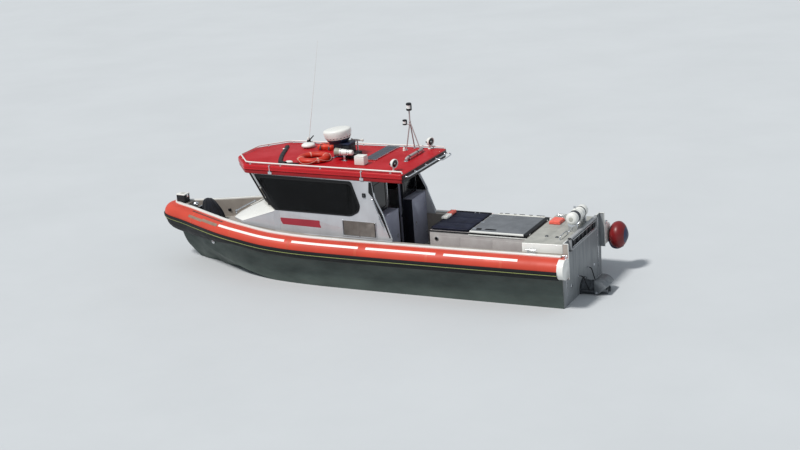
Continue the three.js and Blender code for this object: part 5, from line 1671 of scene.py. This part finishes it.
# %% Engine box
engine_box = Piece("engine_casing")
engine_box.add(refined("engine_box", 0.01, 3), BOX_PAINT)
for x0, x1 in ((-4.02, -3.34), (-3.3, -2.62), (-2.58, -1.98)):
    engine_box.both(box((x0, 0.6285, 0.56), (x1, 0.6335, 1.16), 0.002), BOX_PAINT)
profile = [(0.03, 0.006), (0.03, 0.012), (0.04, 0.012), (0.046, 0.004), (0.046, 0), (0.03, 0)]
engine_box.both(turned(profile, 32, shift((-2.056, 0.6335, 1.104)) @ turn(-QUARTER, "X")), STEEL)
# A dark disc fills the outlet's mouth: painted shade for the inside of the pipe.
engine_box.both(
    turned(rect(0, 0.002, 0.031, 0), 32, shift((-2.056, 0.6335, 1.104)) @ turn(-QUARTER, "X")), DARK_LENS
)
engine_box.both(box((-4.11, 0.62, 1.256), (-1.895, 0.641, 1.281), 0.003), RUBBER)
engine_box.both(box((-4.11, 0.6285, 1.229), (-2.8, 0.6405, 1.255), 0.003), WHITE_PAINT)
engine_box.add(box((-1.9, -0.62, 1.245), (-1.894, 0.62, 1.281), 0.002), RUBBER)
engine_box.add(box((-2.8, -0.632, 1.2815), (-1.9, -0.612, 1.348), 0.004), RUBBER)
for x in (-2.42, -2.52):
    profile = [(0, 0.062), (0.02, 0.056), (0.026, 0.04), (0.014, 0.03), (0.014, 0)]
    engine_box.add(turned(profile, 20, shift((x, -0.617, 1.281))), STEEL)
engine_box.done("boat", "white_paint", "engine_box")

engine = Piece("engine_unit")
engine.add(box((-3.55, -0.16, 0.3), (-2.5, 0.16, 0.86), 0.03, 3), ENGINE_PAINT)
engine.both(box((-3.5, 0.14, 0.5), (-2.55, 0.36, 0.74), 0.04, 3), ENGINE_PAINT)
for k in range(6):
    x = -3.42 + 0.165 * k
    engine.both(box((x - 0.06, 0.17, 0.72), (x + 0.06, 0.33, 0.8), 0.02, 3), CAST)
    engine.both(rod((x, 0.1, 0.8), (x, 0.24, 0.8), 0.018), STEEL)
engine.add(rod((-3.4, 0, 0.9), (-2.6, 0, 0.9), 0.048, sides=24), CAST)
engine.add(box((-3.7, -0.36, -0.149), (-2.4, 0.36, 0.3), 0.03, 3), CAST)
engine.add(rod((-2.5, 0, 0.45), (-2.41, 0, 0.45), 0.15, sides=32), CAST)
engine.done("boat", "engine_grey", "engine_block")

# %% Engine hatch
HATCH_AFT, HATCH_FRONT, HATCH_Y = -4.12, -2.82, 0.645
hatch = Piece("engine_hatch_lid")
rim = rect(HATCH_AFT, -HATCH_Y, HATCH_FRONT, HATCH_Y)
hatch.add(tile(rim, 0.03, 1.2815, 1.294, 0.002), RUBBER)
hatch.add(tile(rim, 0.03, 1.2935, 1.326, 0.006), WHITE_PAINT)
inner = rect(HATCH_AFT + 0.075, -0.595, HATCH_FRONT - 0.012, 0.595)
hatch.add(tile(inner, 0.02, 1.32, 1.3288, 0.002), HATCH_PAINT)
seal_edge = rect(HATCH_AFT - 0.002, -0.646, HATCH_AFT + 0.096, 0.646)
hatch.add(tile(seal_edge, 0.02, 1.29, 1.3294, 0.004), RUBBER)
pull = rect(-3.36, 0.42, -3.1, 0.5)
hatch.add(tile(pull, 0.03, 1.3245, 1.3293, 0.0015), BLACK_PLASTIC)
path = [(-3.335, 0.46, 1.3285), (-3.31, 0.46, 1.335), (-3.15, 0.46, 1.335), (-3.125, 0.46, 1.3285)]
hatch.add(tube(smooth(path, 5), 0.009), BLACK_PLASTIC)
hatch.add(box((-3.03, 0.45, 1.3285), (-2.93, 0.53, 1.346), 0.006), BLACK_PLASTIC)
hatch.add(rod((-3.02, 0.49, 1.346), (-2.94, 0.49, 1.346), 0.01), RUBBER)
for y in (-0.45, 0.0, 0.45):
    hatch.add(
        box((HATCH_FRONT - 0.075, y - 0.035, 1.3285), (HATCH_FRONT - 0.008, y + 0.035, 1.332), 0.0015), STEEL
    )
    hatch.add(
        rod((HATCH_FRONT - 0.006, y - 0.04, 1.331), (HATCH_FRONT - 0.006, y + 0.04, 1.331), 0.0055), STEEL
    )
hatch.add(box((-4.02, -0.645, 1.32), (-2.95, -0.624, 1.345), 0.003), WHITE_PAINT)
for x, half in ((-3.02, 0.03), (-3.16, 0.05), (-3.34, 0.03), (-3.5, 0.06), (-3.7, 0.04), (-3.92, 0.09)):
    hatch.add(box((x - half, -0.647, 1.3435), (x + half, -0.626, 1.353), 0.002), BLACK_PLASTIC)
for y in (-0.5, 0.5):
    hatch.add(box((HATCH_AFT - 0.004, y - 0.03, 1.285), (HATCH_AFT + 0.004, y + 0.03, 1.318), 0.002), STEEL)
hatch.done("engine_hatch", "grey_deck", "engine_hatch")

# %% [markdown]
# ## Soft goods
# The pads are foam in vinyl or coated cloth. A low block is remeshed into small even faces, blown up by the
# cloth solver like a pillow, and held near its start so that it keeps its place. The seams and the piping
# come afterwards, because a remesh would wipe them out.

# %% Padded pieces
def padded(shape, name, material, pressure=4.0, cap_mm=14, voxel=0.012, flat_below=None):
    """Swells a closed shape into a pad. flat_below keeps its underside from passing a height."""
    made = link(bpy.data.objects.new(name, mesh_of(shape, name)))
    bpy.context.view_layer.objects.active = made
    remesh = made.modifiers.new("even", "REMESH")
    remesh.mode = "VOXEL"
    remesh.voxel_size = voxel
    made.data = evaluated(made)
    made.modifiers.clear()
    start = [v.co.copy() for v in made.data.vertices]
    cloth = made.modifiers.new("cloth", "CLOTH")
    cloth.settings.use_pressure = True
    cloth.settings.uniform_pressure_force = pressure
    cloth.settings.effector_weights.gravity = 0
    for frame_number in range(1, 21):
        bpy.context.scene.frame_set(frame_number)
    made.data = evaluated(made)
    made.modifiers.clear()
    bpy.context.scene.frame_set(1)
    for vertex, origin in zip(made.data.vertices, start):
        move = vertex.co - origin
        if move.length > cap_mm / 1000:
            vertex.co = origin + move.normalized() * cap_mm / 1000
        if flat_below is not None and vertex.co.z < flat_below:
            vertex.co.z = flat_below
    made.data.materials.clear()
    made.data.materials.append(material)
    made.data.shade_smooth()
    return made


def pinch(made, rule):
    """Moves the points of a pad by a rule that gives an offset for a point and its normal."""
    for vertex in made.data.vertices:
        vertex.co += rule(vertex.co.copy(), vertex.normal.copy())
    made.data.update()


def finish_pad(made, body, slot, fill, *nodes):
    smoother = made.modifiers.new("round", "SUBSURF")
    smoother.levels = smoother.render_levels = 1
    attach(made, body)
    if nodes:
        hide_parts(*nodes)
    print(made.name, len(made.data.polygons), "faces before one subdivision")
    return made


# %% Deck cushion
ENGINE_BOX_TOP = 1.2812
cushion_plan = rect(-2.785, -0.6, -1.92, 0.6)
pad = padded(
    tile(cushion_plan, 0.05, 1.284, 1.334, 0.014), "deck_cushion_pad", NAVY_VINYL, 3.0, 9, 0.012,
    ENGINE_BOX_TOP,
)
CHANNELS = (-0.2, 0.2)


def cushion_rule(point, normal):
    """Sewn channels across the top, a hollow where people sit and a few slack creases."""
    drop = 0.0
    if point.z > 1.31:
        for line in CHANNELS:
            drop += 0.01 * math.exp(-((point.y - line) / 0.01) ** 2)
        drop += 0.003 * noise.noise(point * 5.0) + 0.0015 * noise.noise(point * 16.0)
    return Vector((0, 0, -drop))


pinch(pad, cushion_rule)
finish_pad(pad, "boat", "navy_vinyl", 0.5, "deck_cushion")

piping = Piece("deck_cushion_piping")
for z in (1.29, 1.33):
    ring = fillet([(x, y * 1.004) for x, y in cushion_plan], 0.05, 6)
    piping.add(tube([(x, y, z) for x, y in ring], 0.0045, closed=True), NAVY_VINYL)
piping.done("boat", "navy_vinyl")

# %% Rescue bag
bag_plan = rect(0.865, -0.695, 1.295, -0.425)
bag = padded(
    tile(bag_plan, 0.07, ROOF_Z + 0.006, ROOF_Z + 0.105, 0.03), "rescue_bag_body", BUOY_ORANGE, 4.0, 14,
    0.009, ROOF_Z + 0.0005,
)


def bag_rule(point, normal):
    crease = 0.018 * noise.noise(
        Vector((point.x * 9, point.y * 14, point.z * 9))
    ) + 0.005 * noise.noise(point * 30)
    strap = sum(0.007 * math.exp(-((point.x - at) / 0.014) ** 2) for at in (0.97, 1.19))
    lift = 1.0 if point.z > ROOF_Z + 0.02 else 0.0
    return normal * (crease - strap) * lift


pinch(bag, bag_rule)
finish_pad(bag, "boat", "orange_fabric", 0.6, "rescue_bag")


def strap_over(x, low, high, top, width=0.034, thick=0.003):
    """A flat strap across a bag: up one side, over the top and down the other."""
    rise = 0.5 * (high - low)
    path = [
        (x, low - 0.006, ROOF_Z + 0.012), (x, low - 0.006, top * 0.5 + ROOF_Z * 0.5), (x, low + 0.05, top),
        (x, low + rise, top + 0.004), (x, high - 0.05, top), (x, high + 0.006, top * 0.5 + ROOF_Z * 0.5),
        (x, high + 0.006, ROOF_Z + 0.012),
    ]
    section = rect(-width / 2, -thick / 2, width / 2, thick / 2)
    return swept(smooth(path, 6), section, upright=False)


straps = Piece("rescue_bag_straps")
for x in (0.97, 1.19):
    straps.add(strap_over(x, -0.7, -0.42, ROOF_Z + 0.112), STRAP_DARK)
    straps.add(
        box((x - 0.022, -0.5, ROOF_Z + 0.108), (x + 0.022, -0.46, ROOF_Z + 0.122), 0.004), BLACK_PLASTIC
    )
handle = smooth(
    [
        (1.02, -0.56, ROOF_Z + 0.112), (1.04, -0.56, ROOF_Z + 0.124), (1.12, -0.56, ROOF_Z + 0.124),
        (1.14, -0.56, ROOF_Z + 0.112),
    ],
    6,
)
straps.add(tube(handle, 0.007), STRAP_DARK)
straps.done("boat", "orange_fabric")

# %% [markdown]
# ## Winch cover
# A canvas cover is pulled over the anchor winch. It could be a simulated cloth, but its folds are few and
# known: it hangs from one high point, so the rings of a low cone are pushed in and out by folds that deepen
# towards the hem, with a drawcord round its foot. Solidify gives the canvas its thickness.

# %% Cover
COVER_ROWS = [
    (0.000, 3.950, 0.290, 0.240), (0.060, 3.955, 0.284, 0.235), (0.180, 3.970, 0.262, 0.214),
    (0.290, 3.990, 0.232, 0.188), (0.380, 4.010, 0.198, 0.160), (0.450, 4.028, 0.168, 0.136),
    (0.505, 4.042, 0.140, 0.112), (0.538, 4.050, 0.104, 0.086), (0.552, 4.056, 0.060, 0.052),
    (0.556, 4.060, 0.018, 0.016),
]
COVER_BASE = 0.8812


def cover_ring(height, x, long, wide, steps=72):
    ring = []
    hang = 1 - height / 0.56
    for k in range(steps):
        a = 2 * math.pi * k / steps
        fold = math.cos(a * 8 + 1.6 * math.sin(a * 2) + 3 * height) * 0.6
        fold += math.cos(a * 14 + 0.9 - 5 * height) * 0.35
        depth = 0.01 + 0.032 * hang * (0.4 + 0.6 * abs(math.sin(a * 1.5)))
        drop = 0.01 * noise.noise(Vector((math.cos(a) * 2, math.sin(a) * 2, height * 6)))
        pull = 1 + (fold * depth - 0.012) / max(wide, 0.05)
        ring.append(
            Vector(
                (
                    x + long * pull * math.cos(a), wide * pull * math.sin(a),
                    COVER_BASE + height + drop * min(1, height * 8),
                )
            )
        )
    return ring


cover_rows = smooth([Vector(row[:3]) for row in COVER_ROWS], 3)
cover_wide = smooth([Vector((row[0], row[3], 0)) for row in COVER_ROWS], 3)
cover_shape = lofted([cover_ring(a.x, a.y, a.z, b.y) for a, b in zip(cover_rows, cover_wide)], caps=(-1,))
cover_area = sum(f.calc_area() for f in cover_shape.faces)
cover_mesh = mesh_of(cover_shape, "winch_cover_canvas")
cover_mesh.materials.append(CANVAS)
cover_mesh.shade_smooth()
cover = link(bpy.data.objects.new("winch_cover_canvas", cover_mesh))
canvas = cover.modifiers.new("canvas", "SOLIDIFY")
canvas.thickness = 0.003
canvas.offset = -1
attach(cover, "boat")
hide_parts("winch_cover")
print("cover area", round(cover_area, 3))

cover_cord = Piece("winch_cover_drawcord")
cord_path = [p + Vector((0, 0, 0.012)) for p in cover_ring(0.045, 3.955, 0.29, 0.24, 72)]
cover_cord.add(tube(cord_path, 0.005, closed=True), RUBBER)
for a in (0.9, 2.2, 4.1, 5.4):
    cover_cord.add(
        box((-0.012, -0.016, -0.02), (0.012, 0.016, 0.02), 0.004), BLACK_PLASTIC,
        shift((3.955 + 0.285 * math.cos(a), 0.236 * math.sin(a), 0.94)),
    )
cover_cord.done("boat", "black_canvas")

# %% [markdown]
# ## Cabin inside
# The helm and the seats show through the glass and the doorway. The console is a moulded block with screens,
# switches and a padded brow. The seats are shock-absorbing posts with cushions made like the deck pad.

# %% Console
console = Piece("helm_console_moulding")
console.add(refined("helm_console", 0.02, 3), BLACK_PLASTIC)


def on_dash(x, y, lift=0.0):
    """A point on the console's sloping face, which rises from 1.43 to 1.58 m between X 1.15 and 1.50."""
    slope = 0.15 / 0.35
    return Vector((x, y, 1.43 + (x - 1.15) * slope)) + Vector((-0.394, 0, 0.919)) * lift


DASH_TURN = turn(-math.atan2(0.15, 0.35), "Y")
for y, wide in ((-0.45, 0.34), (-0.08, 0.3), (0.42, 0.34)):
    place = shift(on_dash(1.38, y, 0.0)) @ DASH_TURN
    console.add(box((-0.1, -wide / 2, -0.004), (0.1, wide / 2, 0.016), 0.008, 3), GREY_PLASTIC, place)
    console.add(
        box((-0.088, -wide / 2 + 0.012, 0.012), (0.088, wide / 2 - 0.012, 0.0175), 0.002), SCREEN, place
    )
for k in range(10):
    place = shift(on_dash(1.215, -0.8 + 0.055 * k, 0.0)) @ DASH_TURN
    console.add(
        box((-0.012, -0.009, 0), (0.012, 0.009, 0.012), 0.003), WHITE_PLASTIC if k % 3 else RUBBER, place
    )
for y in (-0.78, 0.12):
    console.add(rod(on_dash(1.28, y, 0), on_dash(1.28, y, 0.1), 0.01), STEEL)
    console.add(rod(on_dash(1.28, y - 0.02, 0.1), on_dash(1.28, y + 0.02, 0.1), 0.02), BLACK_PLASTIC)
console.add(swept([(1.515, -0.88, 1.58), (1.515, 0.88, 1.58)], radius=0.014, sides=4), SEAT_VINYL)
console.done("boat", "black_plastic", "helm_console")

# %% Steering wheel
wheel = Piece("helm_wheel_rim")
TILT = shift((1.078, -0.45, 1.33)) @ turn(math.radians(20) - math.pi / 2, "Y")
rim_path = [
    TILT @ Vector((0.17 * math.cos(k * math.pi / 24), 0.17 * math.sin(k * math.pi / 24), 0))
    for k in range(48)
]
wheel.add(tube(rim_path, 0.0135, closed=True, sides=5), RUBBER)
profile = [
    (0, 0.018), (0.028, 0.016), (0.037, 0.006), (0.037, -0.012), (0.018, -0.018), (0.0155, -0.069),
    (0, -0.069),
]
wheel.add(turned(profile, 32, TILT), BLACK_PLASTIC)
for k in range(3):
    a = math.pi / 2 + k * 2 * math.pi / 3
    spoke = [TILT @ Vector((r * math.cos(a), r * math.sin(a), 0)) for r in (0.03, 0.165)]
    wheel.add(rod(spoke[0], spoke[1], 0.0095, 0.008), STEEL)
wheel.done("helm_wheel", "black_rubber", "steering_wheel")

# %% Helm seats
seats = Piece("seat_frames")
for y in (0.48, -0.48):
    foot = shift((0.45, y, 0.4504))
    seats.add(turned([(0, 0.02), (0.125, 0.02), (0.145, 0.012), (0.149, 0.001), (0, 0.001)], 32), CAST, foot)
    seats.add(rod((0, 0, 0.015), (0, 0, 0.3), 0.059, sides=28), BLACK_PLASTIC, foot)
    seats.add(rod((0, 0, 0.28), (0, 0, 0.415), 0.045, sides=28), STEEL, foot)
    seats.add(box((-0.18, -0.16, 0.4), (0.18, 0.16, 0.425), 0.008), CAST, foot)
    for side in (-0.17, 0.17):
        seats.add(box((-0.225, side - 0.012, 0.42), (-0.19, side + 0.012, 0.62), 0.005), CAST, foot)
seats.done("boat", "black_rubber")


def seat_pads(y, name, node):
    low = tile(rect(0.235, y - 0.215, 0.675, y + 0.215), 0.07, 0.872, 0.96, 0.02)
    back = tile(
        [(0.225, 0.945), (0.31, 0.945), (0.245, 1.585), (0.16, 1.585)], 0.035, -y - 0.205, -y + 0.205, 0.02,
        place=ON_SIDE,
    )
    join_into(low, back)
    made = padded(low, name, SEAT_VINYL, 4.0, 12, 0.014)

    def channels(point, normal):
        groove = 0.0
        if point.z > 0.9:
            for line in (-0.1, 0.1):
                groove += 0.007 * math.exp(-((point.y - y - line) / 0.01) ** 2)
        return normal * (0.002 * noise.noise(point * 12) - groove)

    pinch(made, channels)
    finish_pad(made, "boat", "black_rubber", 0.7, node)


seat_pads(0.48, "seat_pads_port", "seat_port")
seat_pads(-0.48, "seat_pads_starboard", "seat_starboard")

# %% [markdown]
# ## Liferaft canister
# A fibreglass canister in two halves that meet at a lipped joint, held on its steel cradle by two straps,
# with round end covers. It is a profile spun round its long axis.

# %% Canister
RAFT_AT = Vector((-4.93, -0.12, 1.3004))
RAFT_LONG, RAFT_ROUND = 0.83, 0.91
raft = Piece("liferaft_canister")
along_y = shift(RAFT_AT + Vector((0, 0, 0.3))) @ turn(-QUARTER, "X") @ Matrix.Diagonal(
    (RAFT_ROUND, RAFT_ROUND, RAFT_LONG, 1)
)
half_profile = [
    (0, 0.449), (0.074, 0.449), (0.084, 0.446), (0.106, 0.436), (0.122, 0.424), (0.133, 0.406),
    (0.1375, 0.384), (0.1375, 0.29), (0.1345, 0.286), (0.1345, 0.262), (0.1375, 0.258), (0.1375, 0.15),
    (0.1345, 0.146), (0.1345, 0.122), (0.1375, 0.118), (0.1375, 0.022), (0.1475, 0.018), (0.1475, 0),
]
raft.add(turned([*half_profile, *[(r, -z) for r, z in reversed(half_profile)]], 56, along_y), WHITE_PLASTIC)
for z in (-0.21, 0.21):
    half = 0.024 if z < 0 else 0.062
    profile = [(0.134, z - half), (0.14, z - half + 0.002), (0.14, z + half - 0.002), (0.134, z + half)]
    raft.add(turned(profile, 56, along_y), STRAP_DARK)
    raft.add(box((-0.03, z - 0.026, 0.134), (0.03, z + 0.026, 0.15), 0.005), STEEL, along_y)
raft.add(turned(disc(0.4505, 0.05, 0.056, 0.447, 0.44), 40, along_y), GREY_PLASTIC)
profile = [(0, -0.44), (0.056, -0.44), (0.056, -0.447), (0.05, -0.4505), (0, -0.4505)]
raft.add(turned(profile, 40, along_y), GREY_PLASTIC)
for y in (-0.25, 0.25):
    saddle = [
        (-0.098, 0.002), (0.108, 0.002), (0.108, 0.2), (0.094, 0.215), (0.058, 0.172), (0, 0.157),
        (-0.058, 0.172), (-0.09, 0.215), (-0.098, 0.2),
    ]
    raft.add(plate(saddle, -y - 0.022, -y + 0.022, 0.003, shift(RAFT_AT) @ ON_SIDE), STEEL)
for x in (-0.08, 0.09):
    raft.add(
        box(RAFT_AT + Vector((x - 0.019, -0.3, 0.0005)), RAFT_AT + Vector((x + 0.019, 0.3, 0.024)), 0.005),
        STEEL,
    )
raft.done("boat", "white_plastic", "liferaft")

# %% [markdown]
# ## Stern buoy
# A blown vinyl buoy hangs against the collar's end plate in a thick navy sling. Its body is a flattened ball
# with a moulded eye in navy and faint gores. The gores come from moving the spun points in and out a little
# round the axis.

# %% Buoy
buoy = Piece("stern_buoy_body")
BUOY_AT = Vector((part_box("stern_buoy")[1][0] - 0.1745, -1.42, 0.8))
buoy_profile = [
    (0, -0.174), (0.06, -0.172), (0.12, -0.164), (0.175, -0.146), (0.222, -0.118), (0.254, -0.085),
    (0.276, -0.046), (0.288, 0.0), (0.288, 0.04), (0.276, 0.078), (0.25, 0.115), (0.214, 0.149),
    (0.176, 0.172),
]
eye_profile = [
    (0.176, 0.172), (0.14, 0.189), (0.118, 0.2), (0.096, 0.21), (0.078, 0.216), (0.06, 0.222), (0.036, 0.224),
    (0, 0.224),
]
spin_place = turn(math.pi / 2 + 0.08, "Z") @ turn(-QUARTER, "X")
for profile, material in ((buoy_profile, RED_VINYL), (eye_profile, NAVY_END)):
    shape = turned(profile, 64)
    for vertex in shape.verts:
        r = math.hypot(vertex.co.x, vertex.co.y)
        if r > 0.01:
            a = math.atan2(vertex.co.y, vertex.co.x)
            scale = 1 - 0.006 * abs(math.cos(3 * a)) ** 12 * min(1, r / 0.2)
            vertex.co.x, vertex.co.y = vertex.co.x * scale, vertex.co.y * scale
    buoy.add(shape, material, shift(BUOY_AT) @ spin_place)
sling = smooth([(-5.177, -1.3, 0.72), (-5.24, -1.35, 0.545), (-5.34, -1.4, 0.505), (-5.46, -1.43, 0.56)], 6)
buoy.add(tube(sling, 0.021), NAVY_END)
buoy.done("boat", "red_vinyl", "stern_buoy", sharp=60)

# %% [markdown]
# ## Waterjet
# A cast flange and pipe on the transom, a steering nozzle between two lugs and a reversing bucket on two
# arms. The nozzle and the bucket are their own bodies. The castings have ribs and bolt rings.

# %% Jet pipe
JET_Z = 0.06
AFT = shift((0, 0, JET_Z)) @ turn(-QUARTER, "Y")


def along_jet(profile):
    """A profile of (radius, distance aft of the origin) spun round the jet's axis."""
    return turned(profile, 56, AFT)


jet = Piece("jet_housing")
jet.add(refined("jet_pipe", 0.004, 2, 50), CAST)
jet.add(along_jet([(0.165, 5.075), (0.238, 5.0745), (0.2405, 5.0715), (0.2405, 5.054), (0.165, 5.054)]), CAST)
for k in range(12):
    a = math.pi / 12 + k * math.pi / 6
    y, z = 0.216 * math.cos(a), JET_Z + 0.216 * math.sin(a)
    jet.add(rod((-5.074, y, z), (-5.083, y, z), 0.011, sides=6), STEEL)
for distance in (5.14, 5.24, 5.34):
    jet.add(
        along_jet(
            [
                (0.15, distance), (0.182, distance), (0.186, distance + 0.006), (0.182, distance + 0.012),
                (0.15, distance + 0.012),
            ]
        ),
        CAST,
    )
for side in (1, -1):
    path = [
        (-5.06, side * 0.3, 0.42), (-5.14, side * 0.27, 0.4), (-5.22, side * 0.232, 0.2),
        (-5.26, side * 0.232, 0.1),
    ]
    jet.add(tube(smooth(path, 6), 0.01), RUBBER)
    jet.add(rod((-5.052, side * 0.3, 0.42), (-5.085, side * 0.3, 0.42), 0.02, sides=6), STEEL)
jet.done("boat", "jet_metal", "jet_pipe")

# %% Nozzle and bucket
nozzle = Piece("jet_nozzle_casting")
nozzle.add(refined("jet_nozzle", 0.003, 2, 50), STEEL_DULL)
for distance, radius in ((5.42, 0.1135), (5.5, 0.107), (5.585, 0.0995)):
    nozzle.add(along_jet(rect(radius - 0.012, distance, radius + 0.005, distance + 0.012)), STEEL_DULL)
nozzle.done("nozzle", "jet_metal", "jet_nozzle")

bucket = Piece("reversing_bucket_casting")
bucket.add(refined("reversing_bucket", 0.003, 2, 40), STEEL_DULL)
for side in (1, -1):
    bucket.add(rod((-5.42, side * 0.2462, JET_Z), (-5.42, side * 0.2525, JET_Z), 0.026, sides=6), STEEL)
bucket.done("bucket", "jet_metal", "reversing_bucket")

# %% [markdown]
# ## Loose things aboard
# A folded orange jacket lies on the stern deck, and a bundle of orange and white cloth on the far corner of
# the deck pad. Each is a stack of padded folds, made like the other pads, with creases pushed in by noise.

# %% Bundles
def folded(name, low, high, slot_name, material, turns, seed):
    """A soft stack of folded cloth between two corners."""
    shape = bmesh.new()
    tall = (high[2] - low[2]) / turns
    for k in range(turns):
        shrink = 0.01 * k
        layer = box(
            (low[0] + shrink, low[1] + shrink * 0.6, low[2] + tall * k),
            (high[0] - shrink * 0.7, high[1] - shrink, low[2] + tall * (k + 1.12)), tall * 0.4, 3,
        )
        join_into(shape, layer)
    made = padded(shape, name, material, 3.0, 8, 0.008, low[2])

    def creases(point, normal):
        around = noise.noise(Vector((point.x * 11 + seed, point.y * 17, point.z * 30)))
        fine = noise.noise(Vector((point.x * 34, point.y * 34 + seed, point.z * 60)))
        return normal * (0.007 * around + 0.003 * fine) if point.z > low[2] + 0.004 else Vector((0, 0, 0))

    pinch(made, creases)
    return finish_pad(made, "boat", slot_name, 0.4)


folded("folded_jacket", (-4.5, -0.58, 1.3018), (-4.24, -0.24, 1.365), "orange_fabric", JACKET_CLOTH, 2, 3.0)
folded(
    "cloth_bundle_orange", (-2.04, -0.5, 1.3365), (-1.9, -0.22, 1.405), "orange_fabric", JACKET_CLOTH, 2, 8.0
)
folded(
    "cloth_bundle_white", (-2.05, -0.24, 1.3365), (-1.9, 0.03, 1.395), "orange_fabric", WHITE_CLOTH, 1, 12.0
)
